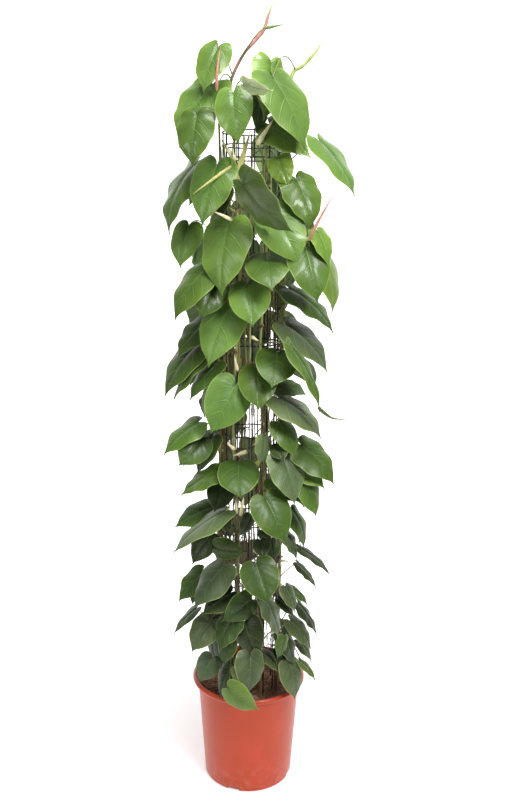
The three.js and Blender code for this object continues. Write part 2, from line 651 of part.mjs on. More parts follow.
// How much nearer a leaf has to come to lie in front of every surface it is seen to cover.
function factorToClear(leaf, surfaces) {
  const margin = LAYER_GAP / leaf.viewer.distance;
  const mine = seenBy(leaf.viewer, leaf);
  let factor = 1;
  const ask = (theirNearness, myNearness) => {
    factor = Math.max(factor, (theirNearness + margin) / myNearness);
  };
  surfaces.forEach((surface) => {
    const theirs = seenBy(leaf.viewer, surface);
    if (apart(mine, theirs)) {
      return;
    }
    mine.spots.forEach((spot) => surface.faces.forEach((face) => {
      const near = nearnessAt(theirs.spots, face, spot);
      if (near !== null) {
        ask(near, spot[2]);
      }
    }));
    theirs.spots.forEach((spot) => leaf.faces.forEach((face) => {
      const near = nearnessAt(mine.spots, face, spot);
      if (near !== null) {
        ask(spot[2], near);
      }
    }));
    surface.edges.forEach(([c, d]) => leaf.edges.forEach(([a, b]) => {
      const [pa, pb, pc, pd] = [mine.spots[a], mine.spots[b], theirs.spots[c], theirs.spots[d]];
      const shares = crossing(pa, pb, pc, pd);
      if (shares !== null) {
        ask(blend([pc[2], pd[2]], shares[1]), blend([pa[2], pb[2]], shares[0]));
      }
    }));
  });
  return factor;
}

// Rows for the far side, staggered, each leaf hanging outwards from the middle.
function farRows(draw) {
  const rows = [];
  for (let row = 0; row < FAR_ROWS; row += 1) {
    FAR_PLACES.forEach((place) => {
      const stagger = row % 2 === 0 ? 0 : FAR_JITTER;
      const x = place + stagger + FAR_JITTER * (draw() - 0.5);
      const z = FAR_ROW_FOOT + FAR_ROW_STEP * row + FAR_JITTER * (draw() - 0.5);
      const length = blend(FAR_LENGTH, row / FAR_ROWS) * blend(FAR_LENGTH_SPREAD, draw());
      const angle = x * FAR_FAN + FAR_ANGLE_SPREAD * (draw() - 0.5);
      const width = length * blend(FAR_SLENDERNESS, draw());
      rows.push([x, z, x + length * Math.sin(angle), z - length * Math.cos(angle), width]);
    });
  }
  return rows;
}

// Whether the front viewer doesn't see a far leaf past the front ones or through a window.
function staysHidden(leaf, fronts) {
  const middles = leaf.faces.map((face) => face
    .reduce((sum, corner) => sum.add(leaf.points[corner]), new THREE.Vector3()).divideScalar(3));
  const spots = [...leaf.points, ...middles].map((point) => sighted(FRONT, point));
  const inWindow = ([x, z]) => WINDOWS.some(([wx, wz, radius]) => Math.hypot(x - wx, z - wz) < radius);
  const covered = (spot) => fronts.some((front) =>
    front.faces.some((face) => nearnessAt(seenBy(FRONT, front).spots, face, spot) !== null));
  const hidden = spots.filter((spot) => Math.abs(spot[0]) < COLUMN_RADIUS || covered(spot));
  return !spots.some(inWindow) && hidden.length >= FAR_HIDDEN_SHARE * spots.length;
}

function layOutLeaves(stems) {
  const draw = makeDraws(SEED);
  const obstacles = makeObstacles(stems);
  const leaves = [];
  const brought = (leaf) => {
    moveNearer(leaf, factorToClear(leaf, [...obstacles, ...leaves]));
    return leaf;
  };
  SHEATHS.forEach((row) => leaves.push(brought(makeLeaf(FRONT, row, false, draw))));
  LEAVES.forEach((row) => leaves.push(brought(makeLeaf(FRONT, row, true, draw))));
  OUTER_SHEATHS.forEach((row) => leaves.push(brought(makeLeaf(FRONT, row, false, draw))));
  const fronts = [...leaves];
  farRows(draw).forEach((row) => {
    const leaf = brought(makeLeaf(BACK, row, true, draw));
    if (leaf.base.y < FAR_DEPTH_LIMIT && staysHidden(leaf, fronts)) {
      leaves.push(leaf);
    }
  });
  return leaves;
}

// The nearest distance from a spot to a face.
function faceDistance(spot, [a, b, c]) {
  const edges = [[a, b], [b, c], [c, a]];
  const normal = b.clone().sub(a).cross(c.clone().sub(a)).normalize();
  const isOver = edges.every(([p, q]) => q.clone().sub(p).cross(spot.clone().sub(p)).dot(normal) >= 0);
  if (isOver) {
    return Math.abs(spot.clone().sub(a).dot(normal));
  }
  return Math.min(...edges.map(([p, q]) => {
    const run = q.clone().sub(p);
    const share = THREE.MathUtils.clamp(spot.clone().sub(p).dot(run) / run.lengthSq(), 0, 1);
    return spot.distanceTo(p.clone().addScaledVector(run, share));
  }));
}

// A stalk's line from a node on a stem to the leaf's base.
function stalkLine(leaf, stem, push, drop, lift) {
  const height = THREE.MathUtils.clamp(leaf.base.z - drop, LOWEST_NODE, stemHighest(stem) - STALK_SPACING);
  const start = stemPoint(stem, height);
  const control = start.clone().lerp(leaf.base, STALK_BOW);
  control.y += leaf.viewer.side * push;
  control.z = blend([Math.max(start.z, leaf.base.z), Math.min(start.z, leaf.base.z)], STALK_LEVEL) + lift;
  return new THREE.QuadraticBezierCurve3(start, control, leaf.base.clone()).getPoints(STALK_STEPS);
}

// Evenly spaced spots on a line.
function spotsAlong(line) {
  const spots = [line[0]];
  line.slice(1).forEach((point, index) => {
    const steps = Math.ceil(point.distanceTo(line[index]) / STALK_SAMPLE);
    for (let step = 1; step <= steps; step += 1) {
      spots.push(line[index].clone().lerp(point, step / steps));
    }
  });
  return spots;
}

// Whether a stalk keeps clear of the column, other stems, other stalks and the blades.
function stalkIsClear(spots, leaf, stem, stems, leaves, stalkSpots) {
  const cutsColumn = (spot) => spot.z < COLUMN_TOP && Math.hypot(spot.x, spot.y) < COLUMN_CLEARANCE;
  const cutsStem = (spot) => stems.some((other) => other !== stem && spot.z < stemHighest(other)
    && stemPoint(other, spot.z).distanceTo(spot) < STEM_CLEARANCE);
  if (spots.some((spot) => cutsColumn(spot) || cutsStem(spot))) {
    return false;
  }
  const free = spots.filter((spot) => spot.distanceTo(spots[0]) > 2 * STEM_CLEARANCE);
  if (free.some((spot) => stalkSpots.some((other) => other.distanceTo(spot) < STALK_SPACING))) {
    return false;
  }
  const reach = spots[0].distanceTo(leaf.base);
  const near = leaves.filter((other) =>
    other.base.distanceTo(leaf.base) < reach + LEAF_SURROUND * other.length);
  return near.every((other) => other.faces.every((face) => {
    const corners = face.map((corner) => other.points[corner]);
    const isOwn = other === leaf;
    const enough = isOwn ? STALK_OWN_CLEARANCE : STALK_CLEARANCE;
    return spots.every((spot) => (isOwn && spot.distanceTo(leaf.base) < STALK_OWN_REACH)
      || faceDistance(spot, corners) >= enough);
  }));
}

// Gives each leaf the first clear stalk, tried from the nearest stem outwards; a far leaf
// that no stalk reaches isn't grown.
function growStalks(leaves, stems) {
  const stalkSpots = [];
  leaves.forEach((leaf) => {
    const nearest = [...stems].sort((p, q) => stemDistance(p, leaf) - stemDistance(q, leaf));
    const tries = STALK_PUSHES.flatMap((push) => nearest.slice(0, STEMS_TRIED).flatMap((stem) =>
      STALK_DROPS.flatMap((drop) => STALK_LIFTS.map((lift) =>
        ({ stem, line: stalkLine(leaf, stem, push, drop, lift) })))));
    const found = tries.find(({ stem, line }) =>
      stalkIsClear(spotsAlong(line), leaf, stem, stems, leaves, stalkSpots));
    if (found) {
      Object.assign(leaf, found);
      stalkSpots.push(...spotsAlong(found.line));
    }
  });
  return leaves.filter((leaf) => leaf.stem);
}

function stemDistance(stem, leaf) {
  return stemPoint(stem, Math.min(leaf.base.z, stemHighest(stem))).distanceTo(leaf.base);
}

// The back of a blade, with a small opening beside the notch for the stalk to grow out of.
const [COLLAR_LEFT, COLLAR_RIGHT] = [MIDDLE + 1, MIDDLE + 2];
const BACK_FACES = [
  ...bothHalves(HALF_FACES.filter((face) => !(face.includes(0) && face.includes(MIDDLE)))),
  [0, COLLAR_RIGHT, 2], [COLLAR_RIGHT, MIDDLE, 2], [COLLAR_RIGHT, COLLAR_LEFT, MIDDLE],
  [0, mirrored(2), COLLAR_LEFT], [COLLAR_LEFT, mirrored(2), MIDDLE],
];

// A leaf in one closed mesh: the blade's back, front and rim, and a three-sided stalk.
function leafSolid(leaf) {
  const half = leaf.normal.clone().multiplyScalar(BLADE_THICKNESS / 2);
  const collar = COLLAR.map(([u, v]) => bladePoint(leaf, u, v));
  const backs = [...leaf.points, ...collar].map((point) => point.clone().sub(half));
  const fronts = leaf.points.map((point) => point.clone().add(half));
  const shift = backs.length;
  const faces = [...BACK_FACES, ...BLADE_FACES.map(([a, b, c]) => [c + shift, b + shift, a + shift])];
  for (let corner = 0; corner < OUTLINE_CORNERS; corner += 1) {
    const next = (corner + 1) % OUTLINE_CORNERS;
    faces.push([corner, next, next + shift], [corner, next + shift, corner + shift]);
  }
  const opening = [backs[0], backs[COLLAR_LEFT], backs[COLLAR_RIGHT]];
  const middle = opening.reduce((sum, point) => sum.add(point), new THREE.Vector3()).divideScalar(3);
  const spokes = opening.map((point) => point.clone().sub(middle).normalize());
  const line = [...leaf.line].reverse().slice(1);
  const radii = line.map((_, index) => blend([STALK_TIP_RADIUS, STALK_RADIUS], (index + 1) / line.length));
  const rings = ringsAlong(line, radii, spokes, leaf.normal.clone().negate());
  const first = backs.length + fronts.length;
  const points = [...backs, ...fronts, ...opening, ...rings.flat()];
  const last = points.length - 3;
  faces.push(...ringFaces(rings.length, 3, first), [last, last + 1, last + 2]);
  return solidOf(geometryOf(points, faces));
}

// A sheath in one closed mesh with its stalk: thin, widest below the middle, ending in a point.
function sheathSolid(leaf) {
  const spokes = [leaf.across, leaf.normal.clone().negate(), leaf.across.clone().negate()];
  const body = SHEATH_SPANS.map(([u, share]) => {
    const spread = [leaf.width / 2, SHEATH_THICKNESS, leaf.width / 2].map((reach) => reach * share);
    return spokes.map((spoke, index) => bladePoint(leaf, u, 0).addScaledVector(spoke, spread[index]));
  });
  const line = [...leaf.line].reverse();
  const radii = line.map(() => STALK_RADIUS);
  const stalk = ringsAlong(line, radii, spokes, leaf.along.clone().negate()).slice(1).reverse();
  return skinOver([...stalk, ...body]);
}

const plastic = new THREE.MeshStandardMaterial({ color: 0xcd5c42, roughness: 0.45 });
const earth = new THREE.MeshStandardMaterial({ color: 0x4a2c20, roughness: 0.95 });
const wire = new THREE.MeshStandardMaterial({ color: 0x15171a, roughness: 0.4, metalness: 0.6 });
const foliage = new THREE.MeshStandardMaterial({ color: 0x4f7a3a, roughness: 0.4 });

const stems = makeStems();
const leaves = growStalks(layOutLeaves(stems), stems);
const plant = new THREE.Group();
plant.add(meshOf("pot", makePot(), plastic));
plant.add(meshOf("soil", makeSoil(stems), earth));
plant.add(meshOf("wire_column", makeColumn(), wire));
stems.forEach((stem) => {
  const own = leaves.filter((leaf) => leaf.stem === stem);
  const grown = own.map((leaf) => (leaf.isLeaf ? leafSolid(leaf) : sheathSolid(leaf)));
  const solid = fuse([stemSolid(stem), ...grown]);
  plant.add(meshOf(`leafy_stem_${stem.index + 1}`, solid, foliage));
});

export default plant;
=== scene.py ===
# A potted heartleaf philodendron: eight leafy stems climb a round wire column that stands in
# the soil of a terracotta-coloured plastic nursery pot. Sizes are in millimetres until the
# meshes are made; the front faces -Y.
import math
from itertools import combinations

import bpy
import numpy as np
from mathutils import Matrix, Vector, noise


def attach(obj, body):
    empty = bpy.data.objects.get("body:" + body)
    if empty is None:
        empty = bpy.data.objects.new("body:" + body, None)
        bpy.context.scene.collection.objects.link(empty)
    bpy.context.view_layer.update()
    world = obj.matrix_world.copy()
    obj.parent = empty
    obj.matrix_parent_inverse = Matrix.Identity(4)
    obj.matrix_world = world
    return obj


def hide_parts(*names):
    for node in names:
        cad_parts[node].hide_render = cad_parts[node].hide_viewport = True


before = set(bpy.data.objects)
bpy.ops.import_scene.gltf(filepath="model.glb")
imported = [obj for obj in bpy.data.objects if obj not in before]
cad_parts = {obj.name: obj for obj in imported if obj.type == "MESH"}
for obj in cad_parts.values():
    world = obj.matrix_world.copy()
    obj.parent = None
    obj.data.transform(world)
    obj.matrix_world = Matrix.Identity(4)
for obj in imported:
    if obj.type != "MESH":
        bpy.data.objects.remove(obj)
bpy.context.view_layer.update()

MM = 0.001

# Pot
POT_SEGMENTS = 128
POT_FOOT_RADIUS = 101.5
POT_WALL_RADIUS = 105
POT_WALL_FLARE = 0.07
POT_WALL = 3
POT_RIM_HEIGHT = 256
POT_RIM_RADIUS = 135
POT_RIM_INNER_RADIUS = 126.5
POT_RIM_LOWER_EDGE = 244
POT_NECK = 240
POT_FOOT_CHAMFER = 2.5
POT_BEVEL = 0.7
POT_BEVEL_SEGMENTS = 2
POT_BEVEL_ANGLE = 40
POT_WALL_STEPS = 12
POT_INSIDE_STEPS = 10
POT_ROLL_STEPS = 44
POT_WALL_END = 6
POT_INSIDE_START = 14
FLOOR_TOP = 3
NOTCH_WIDTH = 30
NOTCH_HEIGHT = 8
NOTCH_DEPTH = 24
NOTCH_FIRST_ANGLE = -19
NOTCH_COUNT = 4
DRAIN_HOLE_RADIUS = 6
DRAIN_HOLE_PLACE = 78
DRAIN_HOLE_SEGMENTS = 24
# The rolled rim from its lower outer edge over the top and down inside, as radius and height
POT_RIM_ROLL = (
    (128, 243.6), (133, 245), (135, 249), (133.8, 253), (131.4, 255.4), (129.8, 256), (127.9, 255),
    (126.5, 252.5), (125.5, 248),
)

# Soil
SEAT_GAP = 0.35
SOIL_TOP = 224
SOIL_RINGS = 44
SOIL_SEGMENTS = 144
SOIL_WAVES = (17, 13, 23)
SOIL_RELIEF = 2.2
SOIL_LUMPS = 3.2
LUMP_SIZE = 14
FINE_LUMP_SIZE = 5
FINE_LUMP_SHARE = 0.4
FINE_LUMP_PLACE = 9
SOIL_CALM_RADIUS = 118
SOIL_CALM_WIDTH = 20
SOIL_MIDDLE_RADIUS = 2
CRUMB_REACH = 112
CHIP_COUNT = 2600
CHIP_LENGTH = (2.5, 9)
CHIP_BREADTH = (0.35, 0.8)
CHIP_HEIGHT = (0.2, 0.55)
CHIP_ROUGHNESS = (0.75, 1.2)
CHIP_TILT = (-0.7, 0.7)
CHIP_SHADE = (0.4, 2.2)
CHIP_COLOUR = np.array([0.42, 0.21, 0.14])
FIBRE_COUNT = 520
FIBRE_LENGTH = (12, 34)
FIBRE_STEPS = 6
FIBRE_SIDES = 5
FIBRE_RADIUS = 0.35
FIBRE_RISE = (1, 5)
FIBRE_LIFT = 1.2
FIBRE_SHADE = (0.5, 1.5)
FIBRE_COLOUR = np.array([0.66, 0.4, 0.28])

# Wire column
COLUMN_RADIUS = 66
COLUMN_TOP = 1518
COLUMN_FOOT = 100
WIRE = 3
UPRIGHT_COUNT = 12
UPRIGHT_FIRST_ANGLE = 3
RING_HEIGHTS = (450, 650, 860, 1065, 1260, 1461, 1488, 1515)
RING_SEGMENTS = 96
WIRE_SIDES = 10
WIRE_STEPS = 30
WIRE_WANDER = 0.7
WIRE_WANDER_LENGTH = 170
WIRE_TURN = 0.5
WIRE_TURN_LENGTH = 210
WIRE_BLACK = (0.02, 0.02, 0.024)

# Climbing stems
STEM_FIRST_ANGLE = 20
STEM_PLACE = 76
STEM_FOOT = 150
STEM_STRAIGHT_TO = 245
STEM_FOOT_RADIUS = 4.6
STEM_TOP_RADIUS = 3
STEM_SWAY = 5
STEM_SWAY_LENGTH = 95
STEM_TOPS = (1560, 1530, 1535, 1500, 1525, 1495, 1545, 1530)
STEM_SIDES = 12
STEM_RING_STEP = 5
INTERNODE = 74
NODE_SWELLING = 0.3
NODE_LENGTH = 5
NODE_SHIFT = 29
NODE_DARKNESS = 0.45
NODE_MARK_LENGTH = 2.5
STEM_FRESHENING = 1.5
STEM_TIP_TAPER = (0.85, 0.6, 0.25)
# The height at which growth counts as oldest, and the further height over which it turns young
AGE_FOOT = 300
AGE_SPAN = 1000
SHOOT_RADII = (3, 3.2, 4.3, 3.4, 0.6)
STEM_SLIMNESS = 0.8
ROOT_RADIUS = (0.8, 1.5)
ROOT_TIP_RADIUS = 0.35
ROOT_DROP = (-20, 110)
ROOT_TURN = (-55, 55)
ROOT_INNER_PLACE = (20, 72)
ROOT_STEPS = 12
ROOT_SIDES = 6
ROOT_SPREAD = 8
ROOT_SWAY = 5
ROOT_WAVES = 9
# How far the starts of waves are spread, close to one full turn
PHASES = 6
ROOTS_PER_NODE = 5
STRANDS_PER_STEM = 12
STRAND_LENGTH = (140, 420)
STRAND_RADIUS = (1.3, 2.4)
STRAND_PLACE = (58, 74)
STRAND_TURN = (-38, 38)
STRAND_STEPS = 26
STRAND_SIDES = 8
STRAND_SWAY = 1.5
STRAND_SWING = 1.2
STRAND_WAVE_LENGTH = 40
STRAND_TAPER = (0, 0.05, 0.9, 1)
STRAND_END_RADIUS = 0.4
STRAND_SLIMNESS = 0.8
STRAND_FRESHNESS = (0.4, 1.2)
SCRAPS_PER_NODE = 2
SCRAP_LENGTH = (10, 26)
SCRAP_WIDTH = (3.5, 8)
SCRAP_SPREAD = 10
SCRAP_TURN = (-110, 110)
SCRAP_LEAN = (-1.4, 1.1)
SCRAP_ROLL = (20, 160)
SCRAP_TILT = 0.4
SCRAP_TONES = ("cream", "straw", "bark", "bark", "straw", "rust")

# The viewers that the leaves are laid out for: the side of the plane through the pot's axis
# that they look from, their place and their distance.
FRONT = {"side": -1, "x": 5, "z": 1333, "distance": 1884}
BACK = {"side": 1, "x": 0, "z": 1333, "distance": 1884}

# Growing ends above the column, by stem, as across, up and nearness to the front viewer.
SHOOTS = {
    1: [(74, 1580, 26), (77, 1615, 23), (85, 1640, 20), (100, 1648, 20), (114, 1661, 20),
        (131, 1680, 20), (145, 1702, 20)],
    7: [(-44, 1570, 50), (-47, 1606, 40), (-46, 1623, 36), (-33, 1652, 30), (-17, 1678, 25),
        (3, 1700, 20), (17, 1715, 20), (24, 1728, 20), (29, 1746, 20), (36, 1765, 20), (42, 1778, 20)],
}

# Their look by stem: shares of the way up where their radius and tone change
SHOOT_LOOKS = {
    1: ((0, 0.45, 0.62, 0.8, 1), ("shoot", "bark", "spear", "spear", "young")),
    7: ((0, 0.6, 0.68, 0.84, 1), ("shoot", "shoot", "pink", "pink", "young")),
}

# Leaves as the front viewer sees them on the sight plane, innermost first: where the stalk
# meets the blade (across, up), the tip (across, up), the seen width, and the tone.
LEAVES_ROUND_RIM = [
    (-40, 275, -70, 184, 50, "dark"), (-30, 262, -14, 214, 34, "olive"),
    (-88, 355, -69, 266, 38, "deep"), (-50, 350, -62, 270, 48, "deep"),
    (-90, 291, -119, 226, 58, "grey"), (35, 305, 77, 252, 30, "grey"), (75, 312, 92, 240, 34, "dark"),
    (100, 277, 114, 180, 54, "grey"), (-10, 385, 25, 290, 72, "dark"), (4, 297, -2, 195, 70, "grey"),
    (-48, 206, 26, 150, 56, "lime"), (80, 360, 107, 273, 42, "dark"), (85, 345, 70, 289, 28, "mid"),
    (120, 338, 152, 284, 24, "grey"), (127, 283, 164, 233, 18, "olive"),
]
LEAVES_LOW = [
    (-82, 400, -92, 340, 40, "dark"), (-92, 388, -140, 307, 70, "grey"),
    (-38, 400, -76, 310, 62, "deep"), (-128, 420, -183, 352, 22, "deep"),
    (101, 390, 152, 316, 40, "grey"), (119, 435, 166, 353, 24, "dark"), (73, 447, 110, 400, 26, "dark"),
    (-45, 462, -114, 404, 56, "dark"), (2, 442, -66, 388, 62, "deep"), (40, 447, 73, 344, 40, "grey"),
    (95, 478, 142, 430, 20, "mid"), (88, 476, 111, 413, 33, "grey"), (-120, 490, -138, 430, 36, "dark"),
    (-113, 512, -170, 436, 54, "mid"), (-64, 527, -131, 418, 72, "grey"),
    (116, 536, 160, 476, 19, "grey"), (28, 620, 50, 592, 32, "dark"), (50, 596, 57, 545, 42, "dark"),
    (26, 594, 34, 549, 42, "dark"), (15, 535, 50, 436, 92, "deep"), (86, 612, 113, 548, 30, "grey"),
    (122, 575, 195, 507, 20, "dark"),
]
LEAVES_BELOW_MIDDLE = [
    (-95, 606, -136, 532, 58, "dark"), (-78, 574, -6, 566, 50, "deep"), (2, 652, -24, 604, 32, "dark"),
    (-60, 650, -51, 611, 30, "dark"), (102, 668, 129, 576, 36, "deep"),
    (-90, 676, -176, 622, 58, "deep"), (-62, 664, -185, 558, 42, "grey"),
    (-62, 738, -82, 663, 66, "dark"), (55, 745, 145, 683, 50, "mid"), (37, 698, 83, 585, 90, "deep"),
]
LEAVES_ABOVE_MIDDLE = [
    (126, 750, 154, 652, 54, "mid"), (104, 780, 177, 726, 54, "bright"),
    (-70, 768, -163, 702, 46, "mid"), (-28, 784, -26, 698, 96, "deep"), (75, 800, 105, 683, 78, "grey"),
    (62, 829, 76, 790, 44, "dark"), (33, 842, 20, 780, 36, "grey"), (-88, 845, -123, 754, 46, "dark"),
    (-112, 842, -162, 773, 76, "deep"), (-122, 878, -202, 800, 50, "mid"),
    (118, 828, 199, 736, 72, "deep"), (68, 878, 106, 798, 54, "mid"), (66, 938, 166, 844, 58, "grey"),
    (68, 968, 128, 948, 38, "grey"), (-94, 944, -86, 868, 42, "dark"),
]
LEAVES_HIGH = [
    (-80, 1015, -140, 930, 42, "deep"), (-100, 1055, -175, 926, 36, "deep"),
    (-120, 1062, -196, 937, 60, "deep"), (-36, 968, -92, 853, 104, "fresh"),
    (14, 1005, 18, 910, 88, "mid"), (-105, 1110, -168, 1029, 52, "deep"),
    (-53, 1142, -98, 1007, 98, "bright"), (61, 1044, 49, 963, 95, "mid"),
    (80, 1105, 178, 1001, 60, "grey"), (90, 1056, 163, 908, 28, "mid"),
    (-112, 1290, -122, 1218, 30, "bright"), (-80, 1202, -114, 1120, 78, "deep"),
    (-106, 1226, -172, 1112, 66, "mid"), (-9, 1195, 5, 1103, 92, "bright"),
    (84, 1186, 186, 1088, 46, "deep"), (31, 1262, 46, 1182, 100, "mid"),
    (147, 1278, 184, 1130, 54, "lime"), (118, 1274, 146, 1154, 92, "mid"),
    (144, 1310, 165, 1236, 42, "lime"), (-139, 1319, -160, 1228, 66, "bright"),
    (-54, 1323, -69, 1167, 106, "bright"), (43, 1352, 108, 1238, 102, "bright"),
]
LEAVES_ROUND_COLUMN_TOP = [
    (-62, 1400, -70, 1335, 40, "dark"), (-22, 1411, 88, 1305, 74, "mid"),
    (95, 1421, 133, 1313, 80, "mid"), (-122, 1452, -190, 1302, 54, "mid"),
    (-78, 1449, -107, 1318, 92, "bright"), (54, 1464, 76, 1404, 56, "lime"),
    (144, 1500, 222, 1384, 46, "fresh"), (36, 1534, 124, 1462, 66, "bright"),
]
LEAVES_CROWN = [
    (16, 1588, 6, 1514, 42, "deep"), (38, 1656, 26, 1540, 76, "lime"),
    (-88, 1613, -162, 1485, 84, "bright"), (-120, 1553, -131, 1444, 80, "mid"),
    (-43, 1596, -33, 1491, 82, "bright"), (42, 1628, 106, 1478, 90, "fresh"),
    (-75, 1687, -110, 1597, 66, "bright"), (-20, 1612, 42, 1600, 30, "dusty"),
]
LEAVES = (LEAVES_ROUND_RIM + LEAVES_LOW + LEAVES_BELOW_MIDDLE + LEAVES_ABOVE_MIDDLE
          + LEAVES_HIGH + LEAVES_ROUND_COLUMN_TOP + LEAVES_CROWN)

# Papery sheaths and rolled young leaves, read the same way.
SHEATHS = [
    (-40, 651, -62, 690, 12, "cream"), (-31, 660, -31, 697, 9, "cream"),
    (-22, 655, -14, 704, 12, "cream"), (10, 572, 32, 550, 12, "cream"),
    (-8, 811, -39, 798, 14, "cream"), (-36, 815, -52, 832, 12, "cream"), (34, 843, 2, 828, 10, "cream"),
    (24, 792, -22, 736, 14, "young"), (40, 950, 74, 952, 9, "cream"),
    (-30, 1000, -42, 1035, 10, "cream"), (0, 1078, 17, 1066, 10, "cream"),
    (-39, 1413, -5, 1512, 20, "straw"), (-36, 1457, -70, 1498, 15, "cream"),
    (22, 1724, 64, 1731, 9, "bud"),
]
OUTER_SHEATHS = [
    (-44, 1332, -82, 1353, 10, "cream"), (-45, 1446, -131, 1389, 9, "straw"),
    (9, 1490, 42, 1544, 14, "cream"), (-77, 1600, -79, 1690, 9, "pink"),
    (124, 1290, 171, 1397, 9, "pink"),
]

# Blade form
BLADE_SLENDERNESS = 0.8
BLADE_LEAN = 0.2
BLADE_LEAN_LIMIT = 1.2
TURN_LIMIT = 65
ARCH = (0.05, 0.1)
CUP = (0.05, 0.12)
LEAF_REACH = 104
SHEATH_REACH = 92
LAYER_GAP = 5
BAND_SIDES = 24
SLIVER = 0.01
HEART = [(0, 0), (-0.15, 0.2), (0.02, 0.47), (0.42, 0.46), (0.8, 0.17), (1, 0)]
ROUND_HEART = [(0, 0), (-0.13, 0.22), (0.05, 0.49), (0.52, 0.47), (0.86, 0.26), (1, 0)]
ROUND_FROM = 0.7
ROUND_TO = 1
LANCE = [(0, 0), (0.05, 0.16), (0.25, 0.45), (0.55, 0.45), (0.85, 0.18), (1, 0)]
MIDRIB = [(0.4, 0)]
OUTLINE_CORNERS = 10
MIDDLE = 10
HALF_FACES = [(0, 2, 1), (0, MIDDLE, 2), (MIDDLE, 3, 2), (MIDDLE, 4, 3), (MIDDLE, 5, 4)]

# The dried tail at the tip of one leaf, as the front viewer sees it on the sight plane
TAIL = ((163, 908), (184, 893), (206, 889), (222, 888))
TAIL_START = 0.93
TAIL_STEPS = 18
TAIL_RADII = ((0, 0.2, 0.5, 0.75, 1), (3.6, 4.2, 2.4, 1.2, 0.8))
TAIL_DRYING = (0.4, 0.9)

# Stalks between stem and blade
STALK_RADIUS = 1.5
STALK_TIP_RADIUS = 1
STALK_STEPS = 2
STALK_DROPS = (50, 30, 70, 10, 90, -10, 110, -30, 130)
STALK_LIFTS = (15, 35, -5, 60)
STALK_PUSHES = (0, 25, 50, 80)
STALK_BOW = 0.6
STALK_LEVEL = 0.4
STALK_SAMPLE = 3
STALK_CLEARANCE = 3.4
STALK_SPACING = 4.6
STALK_OWN_REACH = 9
STALK_OWN_CLEARANCE = 2.2
STEMS_TRIED = 4
LEAF_SURROUND = 1.3
STEM_CLEARANCE = 7.5
COLUMN_CLEARANCE = 70.5
LOWEST_NODE = 250

# Leaves of the side turned away from the front viewer
SEED = 20411
FAR_ROWS = 15
FAR_ROW_FOOT = 330
FAR_ROW_STEP = 86
FAR_PLACES = (-100, -52, -4, 44, 92)
FAR_JITTER = 16
FAR_FAN = 0.0055
FAR_LENGTH = (92, 128)
FAR_LENGTH_SPREAD = (0.85, 1.1)
FAR_SLENDERNESS = (0.55, 0.85)
FAR_ANGLE_SPREAD = 0.3
FAR_HIDDEN_SHARE = 0.8
FAR_DEPTH_LIMIT = 190
FAR_TONES = ("grey", "deep", "mid", "mid", "bright", "bright", "lime")
# Places where daylight shows through the column: across, up and radius on the sight plane.
WINDOWS = [
    (38, 905, 26), (66, 836, 22), (30, 640, 18), (24, 405, 20), (54, 315, 10),
    (-50, 465, 18), (72, 430, 14), (-17, 1462, 18), (-79, 1483, 14), (-133, 1336, 18),
]

# Fine form of a blade: half its outline from the notch round to the drip tip, along and across
BLADE_OUTLINE = [
    (-0.06, 0.025), (-0.125, 0.09), (-0.155, 0.19), (-0.125, 0.32), (-0.02, 0.44), (0.16, 0.497),
    (0.37, 0.48), (0.57, 0.4), (0.74, 0.25), (0.85, 0.12), (0.92, 0.042), (1, 0.005),
]
ROUND_OUTLINE = [
    (-0.06, 0.025), (-0.115, 0.1), (-0.135, 0.2), (-0.1, 0.33), (0.02, 0.45), (0.22, 0.5),
    (0.45, 0.485), (0.65, 0.4), (0.8, 0.26), (0.89, 0.125), (0.94, 0.045), (1, 0.005),
]
BLADE_ROWS = 26
BLADE_COLUMNS = (0, 0.03, 0.09, 0.2, 0.34, 0.48, 0.62, 0.76, 0.88, 0.96, 1)
BLADE_THICKNESS = 0.6
BLADE_ROW_SPACING = 0.004
BLADE_LAST_ROW = 0.996
TIP_FROM = 0.55
TIP_SPAN = 0.45
OTHER_HALF_PHASE = 1.7
SHADE_SPREAD = (0.88, 1.14)
WARMTH_SPREAD = (-0.08, 0.02)
# Heights, and how light the blades are there
HEIGHT_LIGHTNESS = ((560, 860, 1100, 1500, 1600), (0.82, 1.3, 1.06, 1.14, 1.04))
VEIN_START = 0.5
VEINS = 8
VEIN_BEND = 0.09
QUILT = 1.15
QUILT_SPREAD = (0.5, 1.4)
GROOVE = 2.0
GROOVE_WIDTH = 0.05
WAVES = (2.5, 4.5)
WAVE_HEIGHT = (0.01, 0.032)
TIP_CURL = (0.0, 0.06)
TIP_SWING = (-0.07, 0.07)
RIB_REACH = 0.82
RIB_STEPS = 9
RIB_START = 0.05
RIB_TIP_RADIUS = 0.3
RIB_SINKING = 0.3
RIB_LIGHTNESS = 1.3
STALK_SIDES = 8
STALK_FINE_STEPS = 14
STALK_SWELLING = 0.45
STALK_SWELLING_LENGTH = 8
SHEATH_COLUMNS = 6
SHEATH_ROWS = 18
SHEATH_THICKNESS = 0.7
SHEATH_OPENING = (75, 105)
SHEATH_CURL = (-0.1, 0.14)
SHEATH_SWING = (-0.14, 0.14)
SHEATH_SEAT = 0.6
SHEATH_DEPTH = 0.9
SHEATH_END_SPAN = 0.25
SHEATH_TIP_FROM = 0.75
SHEATH_FOOT_BROWNING = 0.35
FRESH_BROWNING = 0.1
DRY_BROWNING = 0.7
FRESH_TONES = ("young", "bud")
SHEATH_OUTLINE = ((0, 0.08, 0.25, 0.5, 0.75, 0.92, 1), (0.5, 0.75, 0.8, 0.6, 0.36, 0.2, 0.06))

